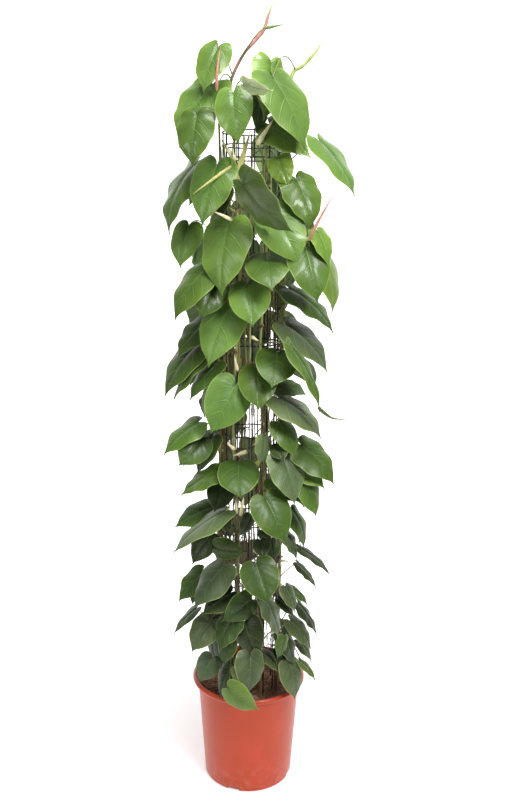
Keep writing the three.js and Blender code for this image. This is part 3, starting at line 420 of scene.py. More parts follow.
# Tones, as 0 to 255 red, green and blue
TONES = {
    "lime": (100, 127, 46), "bright": (92, 120, 46), "fresh": (81, 108, 42), "mid": (69, 94, 30),
    "deep": (58, 81, 27), "grey": (79, 93, 58), "dark": (46, 60, 23), "olive": (88, 102, 38),
    "dusty": (186, 202, 156),
    "cream": (244, 240, 194), "young": (176, 196, 96), "pink": (180, 128, 110), "straw": (198, 196, 128),
    "rust": (172, 104, 60), "bark": (126, 92, 64), "bud": (112, 136, 80), "spear": (164, 190, 104),
    "stem": (164, 172, 102), "old_stem": (112, 98, 62), "stalk": (112, 128, 66), "old_stalk": (96, 82, 52),
    "root": (116, 88, 58), "dark_root": (50, 38, 30), "shoot": (118, 78, 62), "pot": (170, 60, 26),
}

# How tubes start, how finely lines are smoothed, and where shading breaks
TUBE_FIRST_SPOKE = (0.3, 0.9, 0.1)
SPLINE_STEPS = 12
SHARP_ANGLE = 50


# Values that steer how a surface takes its colour, shine and relief. Edges are where a
# share starts and stops rising; across runs from midrib to margin and along from notch to tip.
VEIN_FADING = (0.55, 1.0)
VEIN_EDGES = (0.02, 0.075)
SIDE_VEIN_SHARE = 0.22
MIDRIB_EDGES = (0.01, 0.035)
MIDRIB_FADING = (0.1, 1.0)
VEIN_SHARE = 0.6
# Painted shade over the middle of a blade beside the midrib, strongest towards the notch
HEART_ACROSS = (0.0, 0.6)
HEART_ALONG = (0.4, 1.0)
HEART_SHARE = 0.75
HEART_PAINTED_SHADE = (0.62, 0.72, 0.66, 1)
# Painted light over the outer part of a blade, towards its margins
OUTER_ACROSS = (0.45, 1.0)
OUTER_SHARE = 0.6
OUTER_LIGHT = (1.4, 1.3, 1.05, 1)
PATCH_NOISE = (28, 4.0)
PATCH_EDGES = (0.35, 0.72)
PATCH_SHARE = 0.5
PATCH_STAIN = (0.55, 0.62, 0.5, 1)
PALE_SHARE = 0.5
PALE_GREEN = (0.42, 0.55, 0.16, 1)
MARGIN_EDGES = (0.94, 1.0)
MARGIN_SHARE = 0.8
UNDERSIDE_SHARE = 0.4
UNDERSIDE_GREEN = (0.3, 0.36, 0.24, 1)
BLADE_GLOSS_NOISE = (90, 2.0)
BLADE_ROUGHNESS = (0.32, 0.2)
UNDERSIDE_ROUGHNESS = 0.22
# In metres, as the whole scene's places are
YOUNG_HEIGHTS = (1.0, 1.6)
YOUNG_COAT = 0.26
OLD_COAT = 0.06
FINE_VEINS = 4.0
GRAIN_NOISE = (420, 2.0)
GRAIN_RELIEF = 0.35
FINE_VEIN_RELIEF = 0.3
SIDE_VEIN_RELIEF = 0.9
BLADE_RELIEF = 0.0006

# Streaked surfaces: the noise's scale and detail, its stretch, and the stain between two edges
STREAKED = {
    "stem": {"roughness": 0.5, "noise": (160, 4.0, (1, 1, 0.12)), "edges": (0.35, 0.65),
             "stain": (0.5, 0.42, 0.36, 1), "share": 0.6, "relief": 0.0008},
    "sheath": {"roughness": 0.55, "noise": (240, 3.0, (1, 1, 0.15)), "edges": (0.4, 0.7),
               "stain": (0.75, 0.62, 0.42, 1), "share": 0.7, "relief": 0.0005},
    "coir": {"roughness": 0.92, "noise": (600, 6.0), "edges": (0.45, 0.7),
             "stain": (0.4, 0.34, 0.32, 1), "share": 1.0, "relief": 0.0015},
}

# Pot
POT_CLOUD_NOISE = (14, 5.0)
POT_CLOUD_EDGES = (0.4, 0.75)
POT_CLOUD = (0.46, 0.05, 0.02, 1)
DUST_HEIGHTS = (0.0, 0.09)
DUST_NOISE = (60, 6.0)
DUST_EDGES = (0.45, 0.7)
DUST_SHARE = 0.2
DUST_COLOUR = (0.5, 0.28, 0.2, 1)
POT_GLOSS_NOISE = (35, 5.0)
POT_ROUGHNESS = (0.26, 0.14)
POT_GRAIN_NOISE = (700, 2.0)
POT_RELIEF = 0.00015

# Wire
WEAR_NOISE = (120, 5.0)
WEAR_EDGES = (0.6, 0.8)
WIRE_COLOURS = ((0.012, 0.012, 0.014, 1), (0.05, 0.045, 0.04, 1))
WIRE_ROUGHNESS = (0.36, 0.2)
WIRE_GRAIN_NOISE = (900, 2.0)
WIRE_RELIEF = 0.0002

# Studio, in millimetres for the floor and metres for the lights
FLOOR_FRONT = -1300
FLOOR_BACK = 1800
FLOOR_BOW = 1400
FLOOR_BOW_STEPS = 24
FLOOR_HALF_WIDTH = 3500
WALL_TOP = 5200
FLOOR_COLOUR = (0.8, 0.78, 0.78, 1)
FLOOR_GLOW_FROM = (0.1, 1.4)
FLOOR_GLOW = (0.32, 0.7)
WHITE = (1, 1, 1, 1)
WORLD_STRENGTH = 0.24
# Each light's name, place, target, size and power
LIGHTS = (
    ("top", (0.1, -0.8, 3.4), (0, 0, 1.1), 1.5, 80),
    ("key", (1.5, -2.2, 2.8), (0, 0, 1.1), 0.9, 88),
    ("fill", (-2.4, -2.2, 2.0), (0, 0, 1.0), 1.2, 26),
)

# Camera, at the photograph's place: height, distance, pitch and the small roll of its horizon
CAMERA_PLACE = (0.005, -1.884, 1.333)
CAMERA_PITCH = 12
CAMERA_ROLL = 0.5
CAMERA_LENS = 38.1
CAMERA_SENSOR = 36


# Plain helpers

def blend(pair, share):
    return pair[0] + (pair[1] - pair[0]) * share


def unit(vector):
    return vector / np.linalg.norm(vector, axis=-1, keepdims=True)


def make_draws(seed):
    """A repeatable row of draws between 0 and 1."""
    factor = 48271
    modulus = 2147483647
    state = seed
    while True:
        state = state * factor % modulus
        yield state / modulus


def around(radius, degrees, height):
    """A point at an angle round the axis, counted from the front towards +X."""
    angle = math.radians(degrees)
    return np.array([radius * math.sin(angle), -radius * math.cos(angle), height])


def line_around(radii, degrees, heights):
    """A line of such points."""
    return np.array([around(*spot) for spot in zip(radii, degrees, heights)])


def rotated(points, first, second, angle):
    """Points turned by an angle in the plane of two of their axes."""
    made = points.copy()
    made[:, first] = points[:, first] * math.cos(angle) - points[:, second] * math.sin(angle)
    made[:, second] = points[:, first] * math.sin(angle) + points[:, second] * math.cos(angle)
    return made


def linear(tone):
    """A tone as the linear colour that shaders use, by the sRGB curve."""
    shares = np.array(TONES[tone]) / 255
    return np.where(shares <= 0.04045, shares / 12.92, ((shares + 0.055) / 1.055) ** 2.4)


# Climbing stems

def make_stems():
    stems = []
    for index, top in enumerate(STEM_TOPS):
        azimuth = STEM_FIRST_ANGLE + index * 360 / len(STEM_TOPS)
        stem = {"index": index, "top": top, "azimuth": azimuth}
        shoot = [seen_point(FRONT, *place) for place in SHOOTS.get(index, [])]
        stem["line"] = np.array([climbing_point(stem, top), *shoot])
        stem["highest"] = stem["line"][-1][2]
        stem["shoot"] = shoot
        stems.append(stem)
    return stems


def climbing_point(stem, height):
    climbed = max(height, STEM_STRAIGHT_TO)
    sway = STEM_SWAY * math.sin(climbed / STEM_SWAY_LENGTH + 2 * stem["index"])
    return around(STEM_PLACE, stem["azimuth"] + sway, height)


def stem_point(stem, height):
    """The middle of a stem at a height."""
    if stem["shoot"] and height > stem["top"]:
        line = stem["line"]
        place = [np.interp(height, line[:, 2], line[:, axis]) for axis in range(3)]
        return np.array(place)
    return climbing_point(stem, height)


# Layout of the leaves, by the same rule as the solids

def seen_point(viewer, x, z, depth):
    """What a viewer sees at x, z of the sight plane, brought nearer by a depth."""
    share = depth / viewer["distance"]
    return np.array([x + (viewer["x"] - x) * share, viewer["side"] * depth, z + (viewer["z"] - z) * share])


def eye_of(viewer):
    return np.array([viewer["x"], viewer["side"] * viewer["distance"], viewer["z"]], dtype=float)


def sighted(viewer, points):
    """Places on a viewer's sight plane, with their nearness, which is 1 on the plane."""
    points = np.asarray(points)
    share = viewer["side"] * points[..., 1] / viewer["distance"]
    near = 1 / (1 - share)
    across = (points[..., 0] - viewer["x"] * share) * near
    up = (points[..., 2] - viewer["z"] * share) * near
    return np.stack([across, up, near], axis=-1)


def blade_places(outline):
    """Both halves of a blade's outline in one round, then the place on its midrib."""
    left = [(u, -v) for u, v in reversed(outline[1:-1])]
    return np.array([*outline, *left, *MIDRIB], dtype=float)


def mirrored(corner):
    return OUTLINE_CORNERS - corner if corner % OUTLINE_CORNERS > 0 else corner


def edges_of(faces):
    edges = {}
    for face in faces:
        for index, corner in enumerate(face):
            pair = tuple(sorted((corner, face[(index + 1) % 3])))
            edges[pair] = pair
    return np.array(list(edges))


BLADE_FACES = HALF_FACES + [tuple(mirrored(corner) for corner in reversed(face)) for face in HALF_FACES]
HEART_PLACES = blade_places(HEART)
ROUND_PLACES = blade_places(ROUND_HEART)
LANCE_PLACES = blade_places(LANCE)


def bend(leaf, u, v):
    """How far along the blade's own normal a place of the blade lies."""
    return leaf["length"] * leaf["arch"] * 4 * u * (1 - u) - leaf["width"] * leaf["cup"] * 4 * v * v


def blade_points(leaf, u, v, rise=0.0):
    reaches = (leaf["length"] * u, leaf["width"] * v, bend(leaf, u, v) + rise)
    ways = (leaf["along"], leaf["across"], leaf["normal"])
    return leaf["base"] + sum(np.multiply.outer(reach, way) for reach, way in zip(reaches, ways))


def make_leaf(viewer, row, is_leaf, draws):
    """A leaf from its table row: its length, lean and turn follow from the seen length and width."""
    base_x, base_z, tip_x, tip_z, seen_width, tone = row
    seen_length = math.hypot(tip_x - base_x, tip_z - base_z)
    reach = LEAF_REACH if is_leaf else SHEATH_REACH
    depth = math.sqrt(max(reach * reach - base_x * base_x, 0))
    full_length = max(seen_length, seen_width / BLADE_SLENDERNESS)
    foreshortened = math.sqrt(full_length ** 2 - seen_length ** 2)
    lean = min(max(foreshortened, BLADE_LEAN * seen_length), BLADE_LEAN_LIMIT * seen_length)
    base = seen_point(viewer, base_x, base_z, depth)
    tip = seen_point(viewer, tip_x, tip_z, depth + (lean if is_leaf else 0))
    along = unit(tip - base)
    towards = unit(eye_of(viewer) - base)
    facing = unit(towards - along * towards.dot(along))
    sideways = np.cross(along, facing)
    slender_width = BLADE_SLENDERNESS * seen_length if is_leaf else seen_width
    turn = min(math.acos(min(seen_width / slender_width, 1)), math.radians(TURN_LIMIT))
    outward = np.sign(sideways[0] * base_x) or 1
    across = sideways * math.cos(turn) - facing * outward * math.sin(turn)
    leaf = {"viewer": viewer, "is_leaf": is_leaf, "tone": tone, "seen_tip": (tip_x, tip_z)}
    leaf.update(base=base, along=along, across=across)
    leaf["length"] = np.linalg.norm(tip - base)
    leaf["width"] = seen_width / math.cos(turn) * (1 - depth / viewer["distance"])
    leaf["normal"] = unit(np.cross(across, along))
    leaf["arch"] = blend(ARCH, next(draws)) if is_leaf else ARCH[0]
    leaf["cup"] = blend(CUP, next(draws)) if is_leaf else CUP[1]
    leaf["roundness"] = float(np.interp(seen_width / seen_length, (ROUND_FROM, ROUND_TO), (0, 1)))
    leaf["places"] = blend((HEART_PLACES, ROUND_PLACES), leaf["roundness"]) if is_leaf else LANCE_PLACES
    leaf["faces"] = BLADE_FACES
    settle(leaf)
    return leaf


def settle(leaf):
    leaf["points"] = blade_points(leaf, leaf["places"][:, 0], leaf["places"][:, 1])


def move_nearer(leaf, factor):
    """Moves a leaf straight towards its viewer, who still sees it in the same place and size."""
    eye = eye_of(leaf["viewer"])
    leaf["base"] = (leaf["base"] - eye) / factor + eye
    leaf["length"] /= factor
    leaf["width"] /= factor
    settle(leaf)


def band(low_ring, high_ring):
    """A turned surface between two rings, each given by radius and height."""
    points = []
    faces = []
    for side in range(BAND_SIDES):
        angle = side * 360 / BAND_SIDES
        points += [around(low_ring[0], angle, low_ring[1]), around(high_ring[0], angle, high_ring[1])]
        following = (2 * side + 2) % (2 * BAND_SIDES)
        faces += [(2 * side, following, following + 1), (2 * side, following + 1, 2 * side + 1)]
    return {"points": np.array(points), "faces": faces}


def shoot_ribbon(stem):
    half = np.array([2 * STEM_TOP_RADIUS, 0, 0])
    points = [point + side * half for point in stem["line"] for side in (-1, 1)]
    faces = []
    for corner in range(2, len(points), 2):
        faces += [(corner - 2, corner - 1, corner + 1), (corner - 2, corner + 1, corner)]
    return {"points": np.array(points), "faces": faces}


def make_obstacles(stems):
    """What no blade may cut: the column, the soil, the rim, and the growing ends above."""
    guard = STEM_PLACE + STEM_FOOT_RADIUS + LAYER_GAP
    outer = POT_RIM_RADIUS + LAYER_GAP / 2
    above = POT_RIM_HEIGHT + LAYER_GAP / 2
    return [
        band((guard, SOIL_TOP), (guard, COLUMN_TOP)),
        band((0, SOIL_TOP + LAYER_GAP), (POT_RIM_INNER_RADIUS, SOIL_TOP + LAYER_GAP)),
        band((POT_RIM_INNER_RADIUS, SOIL_TOP), (POT_RIM_INNER_RADIUS, above)),
        band((POT_RIM_INNER_RADIUS, above), (outer, above)),
        band((outer, POT_RIM_LOWER_EDGE), (outer, above)),
        band((POT_WALL_RADIUS, 0), (outer, POT_RIM_LOWER_EDGE)),
        *[shoot_ribbon(stem) for stem in stems if stem["shoot"]],
    ]


def outer_product(first, second):
    return first[..., 0] * second[..., 1] - first[..., 1] * second[..., 0]


def nearness_at(faces, spots):
    """For each spot and seen face, the face's nearness there, or nan beside the face."""
    first, second, third = (faces[None, :, corner] for corner in range(3))
    spot = spots[:, None]
    area = outer_product(second - first, third - first)
    with np.errstate(divide="ignore", invalid="ignore"):
        share_second = outer_product(spot - first, third - first) / area
        share_third = outer_product(second - first, spot - first) / area
        inside = (np.abs(area) > SLIVER) & (share_second >= 0) & (share_third >= 0)
        inside &= share_second + share_third <= 1
        near = first[..., 2] + share_second * (second - first)[..., 2]
        near = near + share_third * (third - first)[..., 2]
    return np.where(inside, near, np.nan)


def crossings(mine, theirs):
    """How near each of two rows of seen edges is where they cross, or nan."""
    start, end = mine[:, None, 0], mine[:, None, 1]
    other_start, other_end = theirs[None, :, 0], theirs[None, :, 1]
    run, other, gap = end - start, other_end - other_start, other_start - start
    area = outer_product(run, other)
    with np.errstate(divide="ignore", invalid="ignore"):
        first = outer_product(gap, other) / area
        second = outer_product(gap, run) / area
        meets = (np.abs(area) > SLIVER) & (first >= 0) & (first <= 1) & (second >= 0) & (second <= 1)
        near = np.where(meets, start[..., 2] + first * run[..., 2], np.nan)
        other_near = np.where(meets, other_start[..., 2] + second * other[..., 2], np.nan)
    return near, other_near


class Sight:
    """All surfaces placed so far, as one viewer sees them."""

    def __init__(self, viewer, surfaces):
        self.viewer = viewer
        self.spots = []
        self.faces = []
        self.edges = []
        for surface in surfaces:
            self.add(surface)

    def add(self, surface):
        spots = sighted(self.viewer, surface["points"])
        self.spots.append(spots)
        self.faces.append(spots[np.array(surface["faces"])])
        self.edges.append(spots[edges_of(surface["faces"])])

    def factor_to_clear(self, leaf):
        """How much nearer a leaf has to come to lie in front of every surface it is seen to cover."""
        margin = LAYER_GAP / self.viewer["distance"]
        mine = sighted(self.viewer, leaf["points"])
        my_faces = mine[np.array(leaf["faces"])]
        my_edges = mine[edges_of(leaf["faces"])]
        their_spots = np.concatenate(self.spots)
        over = (nearness_at(np.concatenate(self.faces), mine) + margin) / mine[:, None, 2]
        under = (their_spots[:, None, 2] + margin) / nearness_at(my_faces, their_spots)
        near, other_near = crossings(my_edges, np.concatenate(self.edges))
        asked = np.concatenate([over.ravel(), under.ravel(), ((other_near + margin) / near).ravel()])
        return max(1.0, np.nanmax(asked, initial=1.0))


def far_rows(draws):
    """Rows for the far side, staggered, each leaf hanging outwards from the middle."""
    rows = []
    for row in range(FAR_ROWS):
        for place in FAR_PLACES:
            stagger = 0 if row % 2 == 0 else FAR_JITTER
            x = place + stagger + FAR_JITTER * (next(draws) - 0.5)
            z = FAR_ROW_FOOT + FAR_ROW_STEP * row + FAR_JITTER * (next(draws) - 0.5)
            length = blend(FAR_LENGTH, row / FAR_ROWS) * blend(FAR_LENGTH_SPREAD, next(draws))
            angle = x * FAR_FAN + FAR_ANGLE_SPREAD * (next(draws) - 0.5)
            width = length * blend(FAR_SLENDERNESS, next(draws))
            tone = FAR_TONES[row * len(FAR_TONES) // FAR_ROWS]
            rows.append((x, z, x + length * math.sin(angle), z - length * math.cos(angle), width, tone))
    return rows


def stays_hidden(leaf, front_faces):
    """Whether the front viewer doesn't see a far leaf past the front ones or through a window."""
    middles = leaf["points"][np.array(leaf["faces"])].mean(axis=1)
    spots = sighted(FRONT, np.concatenate([leaf["points"], middles]))
    in_window = any((np.hypot(spots[:, 0] - x, spots[:, 1] - z) < radius).any() for x, z, radius in WINDOWS)
    covered = ~np.isnan(nearness_at(front_faces, spots)).all(axis=1)
    hidden = (np.abs(spots[:, 0]) < COLUMN_RADIUS) | covered
    return not in_window and hidden.sum() >= FAR_HIDDEN_SHARE * len(spots)


def lay_out_leaves(stems):
    draws = make_draws(SEED)
    obstacles = make_obstacles(stems)
    leaves = []
    sight = Sight(FRONT, obstacles)
    for rows, is_leaf in ((SHEATHS, False), (LEAVES, True), (OUTER_SHEATHS, False)):
        for row in rows:
            leaf = make_leaf(FRONT, row, is_leaf, draws)
            move_nearer(leaf, sight.factor_to_clear(leaf))
            sight.add(leaf)
            leaves.append(leaf)
    placed = [leaf["points"][np.array(leaf["faces"])] for leaf in leaves]
    front_faces = sighted(FRONT, np.concatenate(placed))
    sight = Sight(BACK, obstacles + leaves)
    for row in far_rows(draws):
        leaf = make_leaf(BACK, row, True, draws)
        move_nearer(leaf, sight.factor_to_clear(leaf))
        if leaf["base"][1] < FAR_DEPTH_LIMIT and stays_hidden(leaf, front_faces):
            sight.add(leaf)
            leaves.append(leaf)
    return leaves


def face_distances(spots, faces):
    """The distance from each spot to each face."""
    corners = [faces[:, corner] for corner in range(3)]
    normal = unit(np.cross(corners[1] - corners[0], corners[2] - corners[0]))
    over = np.ones((len(spots), len(faces)), dtype=bool)
    nearest = np.full((len(spots), len(faces)), np.inf)
    for index, start in enumerate(corners):
        run = corners[(index + 1) % 3] - start
        away = spots[:, None] - start[None]
        over &= (away * np.cross(normal, run)).sum(axis=-1) >= 0
        share = np.clip((away * run).sum(axis=-1) / (run * run).sum(axis=-1), 0, 1)
        nearest = np.minimum(nearest, np.linalg.norm(away - share[..., None] * run, axis=-1))
    height = np.abs(((spots[:, None] - corners[0][None]) * normal).sum(axis=-1))
    return np.where(over, height, nearest)


def bezier(start, control, end, steps):
    share = np.linspace(0, 1, steps + 1)[:, None]
    return (1 - share) ** 2 * start + 2 * share * (1 - share) * control + share ** 2 * end


def stalk_control(leaf, start, push, lift):
    control = start + (leaf["base"] - start) * STALK_BOW
    control[1] += leaf["viewer"]["side"] * push
    high = max(start[2], leaf["base"][2])
    low = min(start[2], leaf["base"][2])
    control[2] = blend((high, low), STALK_LEVEL) + lift
    return control


def spots_along(line):
    """Evenly spaced spots on a line."""
    spots = [line[:1]]
    for start, end in zip(line[:-1], line[1:]):
        steps = math.ceil(np.linalg.norm(end - start) / STALK_SAMPLE)
        shares = (np.arange(1, steps + 1) / steps)[:, None]
        spots.append(start + (end - start) * shares)
    return np.concatenate(spots)


class StalkSearch:
    """Gives each leaf the first stalk that keeps clear of everything else."""

    def __init__(self, leaves, stems):
        self.leaves = leaves
        self.stems = stems
        self.bases = np.array([leaf["base"] for leaf in leaves])
        self.lengths = np.array([leaf["length"] for leaf in leaves])
        self.faces = np.array([leaf["points"][np.array(leaf["faces"])] for leaf in leaves])
        self.stalk_spots = np.zeros((0, 3))

    def cuts_column(self, spots):
        return ((spots[:, 2] < COLUMN_TOP) & (np.hypot(spots[:, 0], spots[:, 1]) < COLUMN_CLEARANCE)).any()

    def cuts_stem(self, spots, stem):
        for other in self.stems:
            if other is stem:
                continue
            low = spots[spots[:, 2] < other["highest"]]
            middles = [stem_point(other, height) for height in low[:, 2]]
            if len(low) and (np.linalg.norm(low - middles, axis=1) < STEM_CLEARANCE).any():
                return True
        return False

    def is_clear(self, spots, index, stem):
        if self.cuts_column(spots) or self.cuts_stem(spots, stem):
            return False
        free = spots[np.linalg.norm(spots - spots[0], axis=1) > 2 * STEM_CLEARANCE]
        gaps = np.linalg.norm(free[:, None] - self.stalk_spots[None], axis=-1)
        if (gaps < STALK_SPACING).any():
            return False
        base = self.bases[index]
        reach = np.linalg.norm(spots[0] - base) + LEAF_SURROUND * self.lengths
        near = np.linalg.norm(self.bases - base, axis=1) < reach
        beyond = spots[np.linalg.norm(spots - base, axis=1) >= STALK_OWN_REACH]
        if len(beyond) and (face_distances(beyond, self.faces[index]) < STALK_OWN_CLEARANCE).any():
            return False
        near[index] = False
        others = self.faces[near].reshape(-1, 3, 3)
        return len(others) == 0 or (face_distances(spots, others) >= STALK_CLEARANCE).all()

    def tries(self, leaf):
        def distance(stem):
            return np.linalg.norm(stem_point(stem, min(leaf["base"][2], stem["highest"])) - leaf["base"])
        nearest = sorted(self.stems, key=distance)[:STEMS_TRIED]
        for push in STALK_PUSHES:
            for stem in nearest:
                for drop in STALK_DROPS:
                    height = min(max(leaf["base"][2] - drop, LOWEST_NODE), stem["highest"] - STALK_SPACING)
                    start = stem_point(stem, height)
                    for lift in STALK_LIFTS:
                        yield stem, start, stalk_control(leaf, start, push, lift)

    def grow(self):
        for index, leaf in enumerate(self.leaves):
            for stem, start, control in self.tries(leaf):
                spots = spots_along(bezier(start, control, leaf["base"], STALK_STEPS))
                if self.is_clear(spots, index, stem):
                    leaf.update(stem=stem, start=start, control=control)
                    self.stalk_spots = np.concatenate([self.stalk_spots, spots])
                    break
        return [leaf for leaf in self.leaves if "stem" in leaf]


# Mesh making

class Shape:
    """Points in millimetres, faces and point attributes of one piece."""

    def __init__(self):
        self.points = []
        self.faces = []
        self.tints = []
        self.ribs = []
        self.count = 0

    def add(self, points, faces, tint, rib=(0, 0, 0)):
        """tint is a linear colour and rib the blade coordinates, each for all points or for each."""
        self.points.append(points)
        self.faces += [[corner + self.count for corner in face] for face in faces]
        self.tints.append(np.broadcast_to(tint, (len(points), 3)))
        self.ribs.append(np.broadcast_to(rib, (len(points), 3)))
        self.count += len(points)

    def add_tube(self, line, radii, sides, tint):
        """tint is one colour for all the line or one for each of its points."""
        points, faces = tube(line, radii, sides)
        self.add(points, faces, np.repeat(np.broadcast_to(tint, (len(line), 3)), sides, axis=0))

    def piece(self, name, material, slot, node):
        mesh = bpy.data.meshes.new(name)
        mesh.from_pydata((np.concatenate(self.points) * MM).tolist(), [], self.faces)
        tints = np.concatenate(self.tints)
        opaque = np.ones((len(tints), 1))
        tint_layer = mesh.attributes.new("tint", "FLOAT_COLOR", "POINT")
        tint_layer.data.foreach_set("color", np.hstack([tints, opaque]).ravel())
        rib_layer = mesh.attributes.new("rib", "FLOAT_VECTOR", "POINT")
        rib_layer.data.foreach_set("vector", np.concatenate(self.ribs).ravel())
        return place_piece(name, mesh, material, node)


def place_piece(name, mesh, material, node):
    mesh.materials.append(material)
    mesh.shade_smooth()
    mesh.set_sharp_from_angle(angle=math.radians(SHARP_ANGLE))
    piece = bpy.data.objects.new(name, mesh)
    bpy.context.scene.collection.objects.link(piece)
    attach(piece, "root")
    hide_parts(node)
    return piece


def grid_faces(rows, columns, first=0, wrap_rows=False, wrap_columns=False):
    """Four-sided faces over a grid of points, which may close on itself either way."""
    faces = []
    for row in range(rows if wrap_rows else rows - 1):
        for column in range(columns if wrap_columns else columns - 1):
            right = (column + 1) % columns
            below = (row + 1) % rows
            faces.append([first + row * columns + column, first + row * columns + right,
                          first + below * columns + right, first + below * columns + column])
    return faces


def sheet_faces(rows, columns):
    """Faces of a closed thin sheet: its front grid, then its back grid, joined round the border."""
    size = rows * columns
    front = [face[::-1] for face in grid_faces(rows, columns)]
    faces = front + grid_faces(rows, columns, size)
    right = [row * columns + columns - 1 for row in range(rows)]
    bottom = [size - 1 - column for column in range(columns)]
    left = [row * columns for row in reversed(range(rows))]
    border = list(range(columns))[:-1] + right[:-1] + bottom[:-1] + left[:-1]
    for here, following in zip(border, border[1:] + border[:1]):
        faces.append([here, following, following + size, here + size])
    return faces


def smooth_line(corners, count):
    """Points evenly spaced on a smooth line through the corners."""
    corners = np.array(corners, dtype=float)
    padded = np.vstack([2 * corners[0] - corners[1], corners, 2 * corners[-1] - corners[-2]])
    share = np.linspace(0, 1, SPLINE_STEPS, endpoint=False)[:, None]
    spans = []
    for before, start, end, after in zip(padded, padded[1:], padded[2:], padded[3:]):
        square = (2 * before - 5 * start + 4 * end - after) * share ** 2
        cube = (3 * start - before - 3 * end + after) * share ** 3
        spans.append((2 * start + (end - before) * share + square + cube) / 2)
    line = np.vstack([*spans, corners[-1:]])
    travelled = np.concatenate([[0], np.cumsum(np.linalg.norm(np.diff(line, axis=0), axis=1))])
    places = np.linspace(0, travelled[-1], count)
    return np.stack([np.interp(places, travelled, line[:, axis]) for axis in range(line.shape[1])], axis=1)


def capped(rings):
    """Points and faces of a closed body from rings of points, flat at both ends."""
    sides = len(rings[0])
    last = (len(rings) - 1) * sides
    caps = [list(range(sides))[::-1], [last + side for side in range(sides)]]
    return np.concatenate(rings), grid_faces(len(rings), sides, wrap_columns=True) + caps


def tube(line, radii, sides):
    """Points and faces of a closed round tube along a line."""
    tangents = unit(np.gradient(line, axis=0))
    spoke = np.cross(tangents[0], TUBE_FIRST_SPOKE)
    angles = np.linspace(0, 2 * math.pi, sides, endpoint=False)[:, None]
    rings = []
    for point, tangent, radius in zip(line, tangents, radii):
        spoke = unit(spoke - tangent * spoke.dot(tangent))
        other = np.cross(tangent, spoke)
        rings.append(point + radius * (np.cos(angles) * spoke + np.sin(angles) * other))
    return capped(rings)


def turned(profile, segments):
    """Points and faces of a closed body turned from a profile of radii and heights."""
    angles = np.linspace(0, 2 * math.pi, segments, endpoint=False)
    circle = (np.cos(angles), np.sin(angles))
    return capped([np.stack([radius * circle[0], radius * circle[1], np.full(segments, height)], axis=1)
                   for radius, height in profile])


# Blades

def blade_grid(roundness):
    """Along, across, out from the midrib and round the margin, for each place of a blade's grid."""
    outline = blend((np.array(BLADE_OUTLINE), np.array(ROUND_OUTLINE)), roundness)
    margin = smooth_line(outline, BLADE_ROWS + 1)
    rows = np.arange(BLADE_ROWS + 1)
    start = np.maximum(BLADE_ROW_SPACING * rows, margin[:, 0] - VEIN_START * margin[:, 1])
    start = np.minimum(np.maximum.accumulate(start), BLADE_LAST_ROW)
    columns = np.array(BLADE_COLUMNS)
    out = np.concatenate([-columns[:0:-1], columns])
    u = start[:, None] + (margin[:, 0] - start)[:, None] * np.abs(out)
    v = margin[:, 1][:, None] * out
    ring = np.broadcast_to((rows / BLADE_ROWS)[:, None], u.shape)
    return [grid.ravel() for grid in (u, v, np.broadcast_to(out, u.shape), ring)]


def blade_form(draws):
    """What sets one blade's waves, curl, quilting and tone apart from another's."""
    return {
        "waves": blend(WAVES, next(draws)), "wave_height": blend(WAVE_HEIGHT, next(draws)),
        "wave_start": 2 * math.pi * next(draws), "curl": blend(TIP_CURL, next(draws)),
        "swing": blend(TIP_SWING, next(draws)), "quilt": QUILT * blend(QUILT_SPREAD, next(draws)),
        "shade": blend(SHADE_SPREAD, next(draws)), "warmth": blend(WARMTH_SPREAD, next(draws)),
    }


def blade_surface(leaf, form, u, v, out, ring):
    """Points on the middle surface of a blade."""
    beyond = np.clip((u - TIP_FROM) / TIP_SPAN, 0, 1)
    swung = v + form["swing"] * beyond ** 2
    edge = np.abs(out)
    phase = VEINS * (ring - VEIN_BEND * out * out)
    quilt = form["quilt"] * np.abs(np.sin(math.pi * phase)) * 4 * edge * (1 - edge)
    groove = GROOVE * np.exp(-(v / GROOVE_WIDTH) ** 2) * (1 - np.clip(u, 0, 1))
    turns = 2 * math.pi * form["waves"] * ring + form["wave_start"]
    turns = turns + np.where(out < 0, OTHER_HALF_PHASE, 0)
    waves = form["wave_height"] * leaf["length"] * np.sin(turns) * out * out * (1 - beyond)
    curl = form["curl"] * leaf["length"] * beyond ** 2
    return blade_points(leaf, u, swung, quilt - groove + waves - curl)


def add_blade(shape, leaf, form):
    u, v, out, ring = blade_grid(leaf["roundness"])
    middle = blade_surface(leaf, form, u, v, out, ring)
    half = leaf["normal"] * BLADE_THICKNESS / 2
    warm = np.array([1 + form["warmth"], 1, 1 - 2 * form["warmth"]])
    # The tone is made lighter or darker by the height of the leaf's base
    tint = linear(leaf["tone"]) * form["shade"] * warm * np.interp(leaf["base"][2], *HEIGHT_LIGHTNESS)
    face_up = np.stack([ring, out, np.zeros_like(ring)], axis=1)
    face_down = np.stack([ring, out, np.ones_like(ring)], axis=1)
    points = np.concatenate([middle + half, middle - half])
    faces = sheet_faces(BLADE_ROWS + 1, 2 * len(BLADE_COLUMNS) - 1)
    shape.add(points, faces, tint, np.concatenate([face_up, face_down]))


def age(height):
    """0 for the oldest growth at the foot, 1 for the youngest."""
    return float(np.clip((height - AGE_FOOT) / AGE_SPAN, 0, 1))


